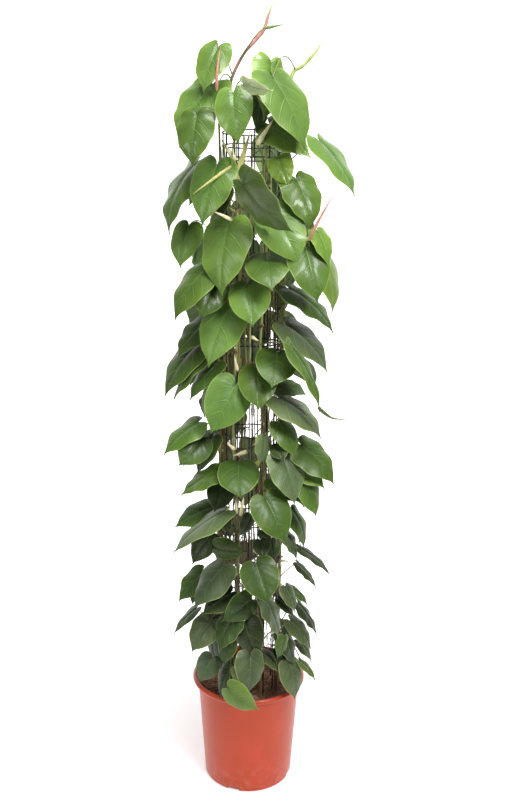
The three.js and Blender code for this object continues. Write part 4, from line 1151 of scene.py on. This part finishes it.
def add_stalk(shape, leaf, form):
    """The stalk, which runs on as the raised rib under the blade."""
    stalk = bezier(leaf["start"], leaf["control"], leaf["base"], STALK_FINE_STEPS)
    travelled = np.linalg.norm(stalk - stalk[0], axis=1)
    radii = blend((STALK_RADIUS, STALK_TIP_RADIUS), travelled / travelled[-1])
    radii = radii * (1 + STALK_SWELLING * np.exp(-(travelled / STALK_SWELLING_LENGTH) ** 2))
    tint = np.tile(blend((linear("old_stalk"), linear("stalk")), age(leaf["base"][2])), (len(stalk), 1))
    if leaf["is_leaf"]:
        u = np.linspace(RIB_START, RIB_REACH, RIB_STEPS)
        rib_radii = blend((STALK_TIP_RADIUS, RIB_TIP_RADIUS), u / RIB_REACH)
        nothing = np.zeros(RIB_STEPS)
        rib = blade_surface(leaf, form, u, nothing, nothing, nothing)
        rib = rib - leaf["normal"] * (BLADE_THICKNESS / 2 + RIB_SINKING * rib_radii)[:, None]
        stalk = np.concatenate([stalk, rib])
        radii = np.concatenate([radii, rib_radii])
        tint = np.concatenate([tint, np.tile(linear(leaf["tone"]) * RIB_LIGHTNESS, (RIB_STEPS, 1))])
    shape.add_tube(stalk, radii, STALK_SIDES, tint)


def add_tail(shape, leaf, form):
    """The long dried tip that one blade runs out into."""
    tip = blade_surface(leaf, form, TAIL_START, 0.0, 0.0, 1.0)
    corners = np.array([seen_point(FRONT, *place, -tip[1]) for place in TAIL])
    line = smooth_line([tip, *corners], TAIL_STEPS)
    share = np.linspace(0, 1, TAIL_STEPS)
    dried = np.interp(share, TAIL_DRYING, (0, 1))[:, None]
    tint = blend((linear(leaf["tone"]), linear("bark")), dried)
    shape.add_tube(line, np.interp(share, *TAIL_RADII), STALK_SIDES, tint)


# Stems

def node_distance(stem, heights):
    """How far each height is from the stem's nearest node."""
    place = (heights + NODE_SHIFT * stem["index"]) / INTERNODE
    return np.abs(place - np.round(place)) * INTERNODE


def add_stem(shape, stem):
    heights = np.arange(STEM_FOOT, stem["top"], STEM_RING_STEP)
    line = [climbing_point(stem, height) for height in heights]
    if stem["shoot"]:
        reach = stem["highest"] - stem["top"]
        line += list(smooth_line(stem["line"], int(reach / STEM_RING_STEP) + 2))
    line = np.array(line)
    share = np.clip((line[:, 2] - STEM_FOOT) / (stem["top"] - STEM_FOOT), 0, 1)
    gap = node_distance(stem, line[:, 2])
    radii = STEM_SLIMNESS * blend((STEM_FOOT_RADIUS, STEM_TOP_RADIUS), share)
    radii = radii * (1 + NODE_SWELLING * np.exp(-(gap / NODE_LENGTH) ** 2))
    tint = blend((linear("old_stem"), linear("stem")), np.clip(share * STEM_FRESHENING, 0, 1)[:, None])
    if stem["shoot"]:
        is_above = line[:, 2] > stem["top"]
        above = (line[:, 2] - stem["top"]) / (stem["highest"] - stem["top"])
        places, tones = SHOOT_LOOKS[stem["index"]]
        radii = np.where(is_above, np.interp(above, places, SHOOT_RADII), radii)
        channels = zip(*(linear(tone) for tone in tones))
        shoot = np.stack([np.interp(above, places, channel) for channel in channels], axis=1)
        tint = np.where(is_above[:, None], shoot, tint)
        gap = np.where(is_above, INTERNODE, gap)
    else:
        radii[-len(STEM_TIP_TAPER):] *= STEM_TIP_TAPER
    tint = tint * (1 - NODE_DARKNESS * np.exp(-(gap / NODE_MARK_LENGTH) ** 2))[:, None]
    shape.add_tube(line, radii, STEM_SIDES, tint)


def node_heights(stem):
    """Where a stem carries its nodes, from just above the soil to its top."""
    first = math.ceil(STEM_STRAIGHT_TO / INTERNODE) + 1
    shift = NODE_SHIFT * stem["index"] % INTERNODE
    heights = [step * INTERNODE - shift for step in range(first, int(stem["top"] / INTERNODE))]
    return [height for height in heights if height > STEM_STRAIGHT_TO]


def add_roots(shape, stem, draws):
    """Brown aerial roots, which run from the nodes round and into the column."""
    share = np.linspace(0, 1, ROOT_STEPS)
    for height in node_heights(stem) * ROOTS_PER_NODE:
        start = height + ROOT_SPREAD * (next(draws) - 0.5)
        drop = blend(ROOT_DROP, next(draws))
        turn = blend(ROOT_TURN, next(draws))
        place = blend(ROOT_INNER_PLACE, next(draws))
        sway = ROOT_SWAY * np.sin(share * ROOT_WAVES + PHASES * next(draws)) * share
        inwards = blend((STEM_PLACE, place), share)
        line = line_around(inwards, stem["azimuth"] + turn * share + sway, start - drop * share)
        radii = blend((blend(ROOT_RADIUS, next(draws)), ROOT_TIP_RADIUS), share)
        shape.add_tube(line, radii, ROOT_SIDES, blend((linear("dark_root"), linear("root")), next(draws)))


def add_strands(shape, stem, draws):
    """Long roots and old stalks that climb the column beside the stems."""
    share = np.linspace(0, 1, STRAND_STEPS)
    for _ in range(STRANDS_PER_STEM):
        length = blend(STRAND_LENGTH, next(draws))
        foot = blend((STEM_STRAIGHT_TO, stem["top"] - length), next(draws))
        azimuth = stem["azimuth"] + blend(STRAND_TURN, next(draws))
        turn = blend(STRAND_TURN, next(draws)) / 2
        place = blend(STRAND_PLACE, next(draws))
        sway = np.sin(share * length / STRAND_WAVE_LENGTH + PHASES * next(draws))
        turning = azimuth + turn * share + STRAND_SWING * sway
        line = line_around(place + STRAND_SWAY * sway, turning, foot + length * share)
        thickness = blend(STRAND_RADIUS, next(draws))
        radii = (STRAND_END_RADIUS, thickness, STRAND_SLIMNESS * thickness, STRAND_END_RADIUS)
        fresh = min(age(foot + length / 2) * blend(STRAND_FRESHNESS, next(draws)), 1)
        tint = blend((linear("root"), linear("stem")), fresh)
        shape.add_tube(line, np.interp(share, STRAND_TAPER, radii), STRAND_SIDES, tint)


def make_scrap(base, azimuth, draws):
    """The dried rest of an old sheath."""
    turn = azimuth + blend(SCRAP_TURN, next(draws))
    along = unit(around(1, turn, blend(SCRAP_LEAN, next(draws))))
    across = unit(np.cross(along, around(1, turn + blend(SCRAP_ROLL, next(draws)), SCRAP_TILT)))
    tone = SCRAP_TONES[int(next(draws) * len(SCRAP_TONES))]
    return {
        "base": base, "along": along, "across": across, "normal": np.cross(across, along), "tone": tone,
        "length": blend(SCRAP_LENGTH, next(draws)), "width": blend(SCRAP_WIDTH, next(draws)),
        "arch": ARCH[1], "cup": CUP[1],
    }


def add_scraps(shape, stem, draws):
    for height in node_heights(stem) * SCRAPS_PER_NODE:
        base = climbing_point(stem, height + SCRAP_SPREAD * (next(draws) - 0.5))
        add_sheath(shape, make_scrap(base, stem["azimuth"], draws), draws)


# Sheaths

def add_sheath(shape, leaf, draws):
    """A thin scale rolled round its own length, with a pointed tip."""
    u = np.repeat(np.linspace(0, 1, SHEATH_ROWS + 1), SHEATH_COLUMNS + 1)
    opening = math.radians(blend(SHEATH_OPENING, next(draws)))
    angle = np.tile(np.linspace(-opening, opening, SHEATH_COLUMNS + 1), SHEATH_ROWS + 1)
    spread = leaf["width"] / 2 * np.interp(u, *SHEATH_OUTLINE)
    curl = blend(SHEATH_CURL, next(draws)) * leaf["length"] * u * u
    swing = blend(SHEATH_SWING, next(draws)) * leaf["length"] * u * u
    height = bend(leaf, u, 0 * u) + spread * (np.cos(angle) - SHEATH_SEAT) * SHEATH_DEPTH - curl
    outer = leaf["base"] + np.outer(leaf["length"] * u, leaf["along"])
    outer = outer + np.outer(spread * np.sin(angle) + swing, leaf["across"])
    outer = outer + np.outer(height, leaf["normal"])
    inner = outer - leaf["normal"] * SHEATH_THICKNESS
    foot = np.clip((SHEATH_END_SPAN - u) / SHEATH_END_SPAN, 0, 1)
    tip = np.clip((u - SHEATH_TIP_FROM) / SHEATH_END_SPAN, 0, 1)
    most = FRESH_BROWNING if leaf["tone"] in FRESH_TONES else DRY_BROWNING
    browning = (np.maximum(SHEATH_FOOT_BROWNING * foot, tip) * most)[:, None]
    tint = linear(leaf["tone"]) * (1 - browning) + linear("bark") * browning
    faces = sheet_faces(SHEATH_ROWS + 1, SHEATH_COLUMNS + 1)
    shape.add(np.concatenate([outer, inner]), faces, np.concatenate([tint, tint]))


# Wire column

def add_column(shape, draws):
    heights = np.linspace(COLUMN_FOOT, COLUMN_TOP, WIRE_STEPS)
    radius = WIRE / 2
    for index in range(UPRIGHT_COUNT):
        angle = UPRIGHT_FIRST_ANGLE + index * 360 / UPRIGHT_COUNT
        start = PHASES * next(draws)
        wander = WIRE_WANDER * np.sin(heights / WIRE_WANDER_LENGTH + start)
        turning = angle + WIRE_TURN * np.sin(heights / WIRE_TURN_LENGTH + 2 * start)
        line = line_around(COLUMN_RADIUS - radius + wander, turning, heights)
        shape.add_tube(line, np.full(len(line), radius), WIRE_SIDES, WIRE_BLACK)
    section = np.linspace(0, 2 * math.pi, WIRE_SIDES, endpoint=False)
    circle = list(zip(COLUMN_RADIUS + radius * np.cos(section), radius * np.sin(section)))
    ring_faces = grid_faces(RING_SEGMENTS, WIRE_SIDES, wrap_rows=True, wrap_columns=True)
    ring_faces = [face[::-1] for face in ring_faces]
    for height in RING_HEIGHTS:
        points = [around(outwards, degrees, height + up)
                  for degrees in np.linspace(0, 360, RING_SEGMENTS, endpoint=False)
                  for outwards, up in circle]
        shape.add(np.array(points), ring_faces, WIRE_BLACK)


# Pot

def wall_radius(height):
    return POT_WALL_RADIUS + POT_WALL_FLARE * height


def pot_profile():
    wall = [(wall_radius(height), height)
            for height in np.linspace(POT_FOOT_CHAMFER, POT_NECK - POT_WALL_END, POT_WALL_STEPS)]
    under_roll = POT_RIM_LOWER_EDGE - 1
    roll = smooth_line([
        (wall_radius(POT_NECK), POT_NECK), *POT_RIM_ROLL,
        (wall_radius(POT_NECK) - POT_WALL + 1, under_roll),
        (wall_radius(POT_NECK - POT_WALL) - POT_WALL, POT_NECK - 2 * POT_WALL),
    ], POT_ROLL_STEPS)
    inside = [(wall_radius(height) - POT_WALL, height)
              for height in np.linspace(POT_NECK - POT_INSIDE_START, FLOOR_TOP, POT_INSIDE_STEPS)]
    return [(POT_FOOT_RADIUS, 0), *wall, *roll, *inside]


def plain_object(name, points, faces):
    mesh = bpy.data.meshes.new(name)
    mesh.from_pydata((points * MM).tolist(), [], faces)
    made = bpy.data.objects.new(name, mesh)
    bpy.context.scene.collection.objects.link(made)
    return made


def box_at(name, size, place, angle):
    signs = np.array([(x, y, z) for x in (-1, 1) for y in (-1, 1) for z in (-1, 1)])
    corners = rotated(signs * size / 2, 0, 1, math.radians(angle))
    faces = [[0, 1, 3, 2], [4, 6, 7, 5], [0, 4, 5, 1], [2, 3, 7, 6], [0, 2, 6, 4], [1, 5, 7, 3]]
    return plain_object(name, corners + place, faces)


def pot_cutters():
    cutters = []
    notch = np.array([NOTCH_WIDTH, NOTCH_DEPTH, 2 * NOTCH_HEIGHT])
    hole = [(DRAIN_HOLE_RADIUS, -POT_WALL), (DRAIN_HOLE_RADIUS, 2 * POT_WALL)]
    for index in range(NOTCH_COUNT):
        angle = NOTCH_FIRST_ANGLE + index * 360 / NOTCH_COUNT
        cutters.append(box_at(f"notch_cutter_{index}", notch, around(POT_FOOT_RADIUS, angle, 0), angle))
        points, faces = turned(hole, DRAIN_HOLE_SEGMENTS)
        place = around(DRAIN_HOLE_PLACE, angle, 0)
        cutters.append(plain_object(f"drain_cutter_{index}", points + place, faces))
    return cutters


def make_pot(material):
    body = plain_object("pot_body", *turned(pot_profile(), POT_SEGMENTS))
    cutters = pot_cutters()
    for cutter in cutters:
        cut = body.modifiers.new(cutter.name, "BOOLEAN")
        cut.operation = "DIFFERENCE"
        cut.solver = "EXACT"
        cut.object = cutter
    bevel = body.modifiers.new("edges", "BEVEL")
    bevel.width = POT_BEVEL * MM
    bevel.segments = POT_BEVEL_SEGMENTS
    bevel.angle_limit = math.radians(POT_BEVEL_ANGLE)
    depsgraph = bpy.context.evaluated_depsgraph_get()
    mesh = bpy.data.meshes.new_from_object(body.evaluated_get(depsgraph))
    for spare in (body, *cutters):
        bpy.data.objects.remove(spare)
    return place_piece("pot_shell", mesh, material, "pot")


# Soil

def soil_height(x, y):
    wave_x, wave_y, wave_both = SOIL_WAVES
    relief = math.sin(x / wave_x) * math.cos(y / wave_y) + math.sin((x + y) / wave_both)
    fine = noise.noise(Vector((x, y, FINE_LUMP_PLACE)) / FINE_LUMP_SIZE)
    lumps = noise.noise(Vector((x, y, 0)) / LUMP_SIZE) + FINE_LUMP_SHARE * fine
    near_wall = np.clip((SOIL_CALM_RADIUS - math.hypot(x, y)) / SOIL_CALM_WIDTH, 0, 1)
    return SOIL_TOP + (SOIL_RELIEF * relief + SOIL_LUMPS * lumps) * near_wall


def soil_edge(height):
    return wall_radius(height) - POT_WALL - SEAT_GAP


def add_soil(shape):
    foot = FLOOR_TOP + SEAT_GAP
    radii = np.linspace(soil_edge(SOIL_TOP), SOIL_MIDDLE_RADIUS, SOIL_RINGS)
    profile = [(soil_edge(foot), foot), *[(radius, SOIL_TOP) for radius in radii]]
    points, faces = turned(profile, SOIL_SEGMENTS)
    for point in points[SOIL_SEGMENTS:]:
        point[2] = soil_height(point[0], point[1])
    shape.add(points, faces, CHIP_COLOUR / 2)


def spot_on_soil(draws):
    radius = CRUMB_REACH * math.sqrt(next(draws))
    place = around(radius, 360 * next(draws), 0)
    place[2] = soil_height(place[0], place[1])
    return place


def chip_template():
    """A ball of twenty triangles, which a chip is squeezed from."""
    golden = (1 + math.sqrt(5)) / 2
    ends = [(side, golden * end) for side in (-1, 1) for end in (-1, 1)]
    corners = [(a, b, 0) for a, b in ends] + [(0, a, b) for a, b in ends] + [(b, 0, a) for a, b in ends]
    corners = np.array(corners) / math.hypot(1, golden)
    longest_edge = 1.1
    faces = []
    for a, b, c in combinations(range(len(corners)), 3):
        trio = corners[[a, b, c]]
        if max(np.linalg.norm(trio - np.roll(trio, 1, axis=0), axis=1)) < longest_edge:
            is_outward = np.cross(trio[1] - trio[0], trio[2] - trio[0]).dot(trio[0]) > 0
            faces.append([a, b, c] if is_outward else [a, c, b])
    return corners, faces


def add_chips(shape, draws):
    """Crumbs of coir and bark."""
    corners, faces = chip_template()
    for _ in range(CHIP_COUNT):
        length = blend(CHIP_LENGTH, next(draws) ** 2)
        breadth = length * blend(CHIP_BREADTH, next(draws))
        size = np.array([length, breadth, length * blend(CHIP_HEIGHT, next(draws))])
        rough = np.array([blend(CHIP_ROUGHNESS, next(draws)) for _ in corners])[:, None]
        turn = 2 * math.pi * next(draws)
        tilt = blend(CHIP_TILT, next(draws))
        placed = rotated(rotated(corners * rough * size / 2, 0, 2, tilt), 0, 1, turn) + spot_on_soil(draws)
        shape.add(placed, faces, CHIP_COLOUR * blend(CHIP_SHADE, next(draws) ** 2))


def add_fibres(shape, draws):
    """Coir fibres that lie on the crumbs in a low bow."""
    for _ in range(FIBRE_COUNT):
        start = spot_on_soil(draws)
        length = blend(FIBRE_LENGTH, next(draws))
        way = around(length, 360 * next(draws), 0)
        middle = start + way / 2 + (0, 0, blend(FIBRE_RISE, next(draws)))
        end = start + way * (1 if math.hypot(*(start + way)[:2]) < CRUMB_REACH else -1)
        end[2] = soil_height(end[0], end[1])
        line = bezier(start, middle, end, FIBRE_STEPS) + (0, 0, FIBRE_LIFT)
        tint = FIBRE_COLOUR * blend(FIBRE_SHADE, next(draws))
        shape.add_tube(line, np.full(len(line), FIBRE_RADIUS), FIBRE_SIDES, tint)


# Materials

class Surface:
    """A new material with its shader, and one call for each kind of node in front of it."""

    def __init__(self, name, **shader_values):
        self.material = bpy.data.materials.new(name)
        self.material.use_nodes = True
        self.tree = self.material.node_tree
        self.shader = self.tree.nodes["Principled BSDF"]
        for key, value in shader_values.items():
            self.shader.inputs[key.replace("_", " ")].default_value = value

    def node(self, kind, settings=None, **inputs):
        """An input given as a socket is linked, any other is set."""
        made = self.tree.nodes.new(kind)
        for name, value in (settings or {}).items():
            setattr(made, name, value)
        for name, value in inputs.items():
            socket = made.inputs[int(name[1:]) if name.startswith("_") else name.replace("_", " ")]
            if isinstance(value, bpy.types.NodeSocket):
                self.tree.links.new(value, socket)
            else:
                socket.default_value = value
        return made

    def drive(self, name, value):
        self.tree.links.new(value, self.shader.inputs[name])

    def arithmetic(self, operation, first, second=0.0):
        return self.node("ShaderNodeMath", {"operation": operation}, _0=first, _1=second).outputs[0]

    def times(self, first, second):
        return self.arithmetic("MULTIPLY", first, second)

    def plus(self, first, second):
        return self.arithmetic("ADD", first, second)

    def minus(self, first, second):
        return self.arithmetic("SUBTRACT", first, second)

    def rise(self, value, edges):
        """0 below the first edge, 1 above the second and smooth between."""
        low, high = edges
        settings = {"interpolation_type": "SMOOTHSTEP"}
        made = self.node("ShaderNodeMapRange", settings, Value=value, From_Min=low, From_Max=high)
        return made.outputs["Result"]

    def fall(self, value, edges):
        return self.minus(1.0, self.rise(value, edges))

    def between(self, value, low_and_span):
        """A share brought to start at the first number and to rise by the second."""
        low, span = low_and_span
        return self.plus(self.times(value, span), low)

    def mix(self, share, first, second, blend_type="MIX"):
        settings = {"data_type": "RGBA", "blend_type": blend_type}
        return self.node("ShaderNodeMix", settings, _0=share, _6=first, _7=second).outputs[2]

    # Multiplies a colour in: real stains and mottling, and on the blades also painted shade and painted
    # light
    def stain(self, share, colour, stain):
        return self.mix(share, colour, stain, "MULTIPLY")

    def place(self):
        return self.node("ShaderNodeTexCoord").outputs["Object"]

    def axes(self, vector):
        return self.node("ShaderNodeSeparateXYZ", Vector=vector).outputs

    def noise(self, scale, detail, stretch=None):
        place = self.place()
        if stretch:
            place = self.node("ShaderNodeMapping", Vector=place, Scale=stretch).outputs[0]
        return self.node("ShaderNodeTexNoise", Vector=place, Scale=scale, Detail=detail).outputs["Fac"]

    def attribute(self, name, output):
        return self.node("ShaderNodeAttribute", {"attribute_name": name}).outputs[output]

    def off_nearest_whole(self, value):
        return self.arithmetic("ABSOLUTE", self.minus(value, self.arithmetic("ROUND", value)))

    def bump(self, height, distance):
        made = self.node("ShaderNodeBump", Height=height, Distance=distance, Strength=1.0)
        self.drive("Normal", made.outputs[0])


def blade_material():
    """Green blades with pale veins and margins, painted shade by the midrib and painted light towards the
    margins, glossy above and dull below.
    """
    surface = Surface("blade", Specular_IOR_Level=0.3, Coat_Roughness=0.17)
    times = surface.times
    ring, out, under = surface.axes(surface.attribute("rib", "Vector"))
    edge = surface.arithmetic("ABSOLUTE", out)
    phase = times(surface.minus(ring, times(times(edge, edge), VEIN_BEND)), float(VEINS))
    near_vein = surface.fall(surface.off_nearest_whole(phase), VEIN_EDGES)
    side_veins = times(near_vein, surface.fall(edge, VEIN_FADING))
    midrib = times(surface.fall(edge, MIDRIB_EDGES), surface.fall(ring, MIDRIB_FADING))
    veins = surface.arithmetic("MAXIMUM", times(side_veins, SIDE_VEIN_SHARE), midrib)
    tint = surface.attribute("tint", "Color")
    # Painted shade: the middle of the blade by the midrib is darkened, fading towards the tip
    painted_shade_mask = times(surface.fall(edge, HEART_ACROSS), surface.fall(ring, HEART_ALONG))
    shaded = surface.stain(times(painted_shade_mask, HEART_SHARE), tint, HEART_PAINTED_SHADE)
    # Painted light: the outer part of the blade towards the margins is lightened
    lit = surface.stain(times(surface.rise(edge, OUTER_ACROSS), OUTER_SHARE), shaded, OUTER_LIGHT)
    patches = surface.rise(surface.noise(*PATCH_NOISE), PATCH_EDGES)
    mottled = surface.stain(times(patches, PATCH_SHARE), lit, PATCH_STAIN)
    pale = surface.mix(PALE_SHARE, tint, PALE_GREEN)
    veined = surface.mix(times(veins, VEIN_SHARE), mottled, pale)
    edged = surface.mix(times(surface.rise(edge, MARGIN_EDGES), MARGIN_SHARE), veined, pale)
    dull = surface.mix(UNDERSIDE_SHARE, edged, UNDERSIDE_GREEN)
    surface.drive("Base Color", surface.mix(under, edged, dull))
    gloss = surface.between(surface.noise(*BLADE_GLOSS_NOISE), BLADE_ROUGHNESS)
    surface.drive("Roughness", surface.plus(gloss, times(under, UNDERSIDE_ROUGHNESS)))
    youth = surface.rise(surface.axes(surface.place())[2], YOUNG_HEIGHTS)
    surface.drive("Coat Weight", surface.between(youth, (OLD_COAT, YOUNG_COAT)))
    fine_veins = times(surface.off_nearest_whole(times(phase, FINE_VEINS)), FINE_VEIN_RELIEF)
    grain = surface.plus(times(surface.noise(*GRAIN_NOISE), GRAIN_RELIEF), fine_veins)
    surface.bump(surface.minus(grain, times(side_veins, SIDE_VEIN_RELIEF)), BLADE_RELIEF)
    return surface.material


def streaked_material(name):
    """Stems, sheaths or coir, each with its own streaks or grain."""
    look = STREAKED[name]
    surface = Surface(name, Roughness=look["roughness"])
    streaks = surface.noise(*look["noise"])
    tint = surface.attribute("tint", "Color")
    streaked = surface.stain(surface.rise(streaks, look["edges"]), tint, look["stain"])
    surface.drive("Base Color", surface.mix(look["share"], tint, streaked))
    surface.bump(streaks, look["relief"])
    return surface.material


def pot_material():
    """Moulded plastic, a little dusty towards the foot."""
    surface = Surface("pot_plastic", Specular_IOR_Level=0.25, Coat_Weight=0.15, Coat_Roughness=0.12)
    clouds = surface.rise(surface.noise(*POT_CLOUD_NOISE), POT_CLOUD_EDGES)
    cloudy = surface.mix(clouds, (*linear("pot"), 1), POT_CLOUD)
    low = surface.fall(surface.axes(surface.place())[2], DUST_HEIGHTS)
    dust = surface.times(low, surface.rise(surface.noise(*DUST_NOISE), DUST_EDGES))
    surface.drive("Base Color", surface.mix(surface.times(dust, DUST_SHARE), cloudy, DUST_COLOUR))
    surface.drive("Roughness", surface.between(surface.noise(*POT_GLOSS_NOISE), POT_ROUGHNESS))
    surface.bump(surface.noise(*POT_GRAIN_NOISE), POT_RELIEF)
    return surface.material


def wire_material():
    """Black coated wire, worn in places."""
    surface = Surface("black_wire", Metallic=0.2)
    worn = surface.rise(surface.noise(*WEAR_NOISE), WEAR_EDGES)
    surface.drive("Base Color", surface.mix(worn, *WIRE_COLOURS))
    surface.drive("Roughness", surface.between(worn, WIRE_ROUGHNESS))
    surface.bump(surface.noise(*WIRE_GRAIN_NOISE), WIRE_RELIEF)
    return surface.material


# Assembly

def make_plant():
    stems = make_stems()
    leaves = StalkSearch(lay_out_leaves(stems), stems).grow()
    draws = make_draws(SEED + 1)
    materials = {
        "blades": blade_material(),
        "stems": streaked_material("stem"),
        "sheaths": streaked_material("sheath"),
    }
    for stem in stems:
        shapes = {kind: Shape() for kind in materials}
        add_stem(shapes["stems"], stem)
        add_roots(shapes["stems"], stem, draws)
        add_strands(shapes["stems"], stem, draws)
        for leaf in leaves:
            if leaf["stem"] is not stem:
                continue
            form = blade_form(draws)
            add_stalk(shapes["stems"], leaf, form)
            if leaf["is_leaf"]:
                add_blade(shapes["blades"], leaf, form)
                if leaf["seen_tip"] == TAIL[0]:
                    add_tail(shapes["stems"], leaf, form)
            else:
                add_sheath(shapes["sheaths"], leaf, draws)
        add_scraps(shapes["sheaths"], stem, draws)
        number = stem["index"] + 1
        for kind, shape in shapes.items():
            if shape.count:
                shape.piece(f"{kind}_{number}", materials[kind], "foliage", f"leafy_stem_{number}")


def make_holder():
    draws = make_draws(SEED + 2)
    column = Shape()
    add_column(column, draws)
    column.piece("round_wires", wire_material(), "wire", "wire_column")
    make_pot(pot_material())
    coir = streaked_material("coir")
    soil = Shape()
    add_soil(soil)
    soil.piece("soil_bed", coir, "soil", "soil")
    crumbs = Shape()
    add_chips(crumbs, draws)
    add_fibres(crumbs, draws)
    crumbs.piece("soil_crumbs", coir, "soil", "soil")


# Studio and camera

def make_floor():
    """A pale floor that curves up into a wall behind."""
    turns = np.linspace(0, math.pi / 2, FLOOR_BOW_STEPS)[1:]
    bow = [(FLOOR_BACK + FLOOR_BOW * math.sin(turn), FLOOR_BOW * (1 - math.cos(turn))) for turn in turns]
    line = [(FLOOR_FRONT, 0), (FLOOR_BACK, 0), *bow, (FLOOR_BACK + FLOOR_BOW, WALL_TOP)]
    ends = (-FLOOR_HALF_WIDTH, FLOOR_HALF_WIDTH)
    points = np.array([(x, y, z) for y, z in line for x in ends], dtype=float)
    backdrop = plain_object("backdrop", points, grid_faces(len(line), 2))
    backdrop.data.shade_smooth()
    surface = Surface("pale_floor", Base_Color=FLOOR_COLOUR, Roughness=0.8, Emission_Color=WHITE)
    behind = surface.rise(surface.axes(surface.place())[1], FLOOR_GLOW_FROM)
    surface.drive("Emission Strength", surface.between(behind, FLOOR_GLOW))
    backdrop.data.materials.append(surface.material)


def make_light(name, place, target, size, power):
    data = bpy.data.lights.new(name, "AREA")
    data.shape = "DISK"
    data.size = size
    data.energy = power
    light = bpy.data.objects.new(name, data)
    light.location = place
    light.rotation_euler = (Vector(target) - Vector(place)).to_track_quat("-Z", "Y").to_euler()
    bpy.context.scene.collection.objects.link(light)


def make_lights():
    world = bpy.data.worlds.new("studio")
    world.use_nodes = True
    background = world.node_tree.nodes["Background"]
    background.inputs["Color"].default_value = WHITE
    background.inputs["Strength"].default_value = WORLD_STRENGTH
    bpy.context.scene.world = world
    bpy.context.scene.view_settings.view_transform = "Standard"
    for light in LIGHTS:
        make_light(*light)


def make_camera():
    data = bpy.data.cameras.new("camera")
    data.lens = CAMERA_LENS
    data.sensor_width = CAMERA_SENSOR
    camera = bpy.data.objects.new("camera", data)
    camera.location = CAMERA_PLACE
    pitched = Matrix.Rotation(math.radians(90 - CAMERA_PITCH), 3, "X")
    rolled = Matrix.Rotation(math.radians(CAMERA_ROLL), 3, "Z")
    camera.rotation_euler = (pitched @ rolled).to_euler()
    bpy.context.scene.collection.objects.link(camera)
    bpy.context.scene.camera = camera


make_camera()
make_plant()
make_holder()
make_floor()
make_lights()
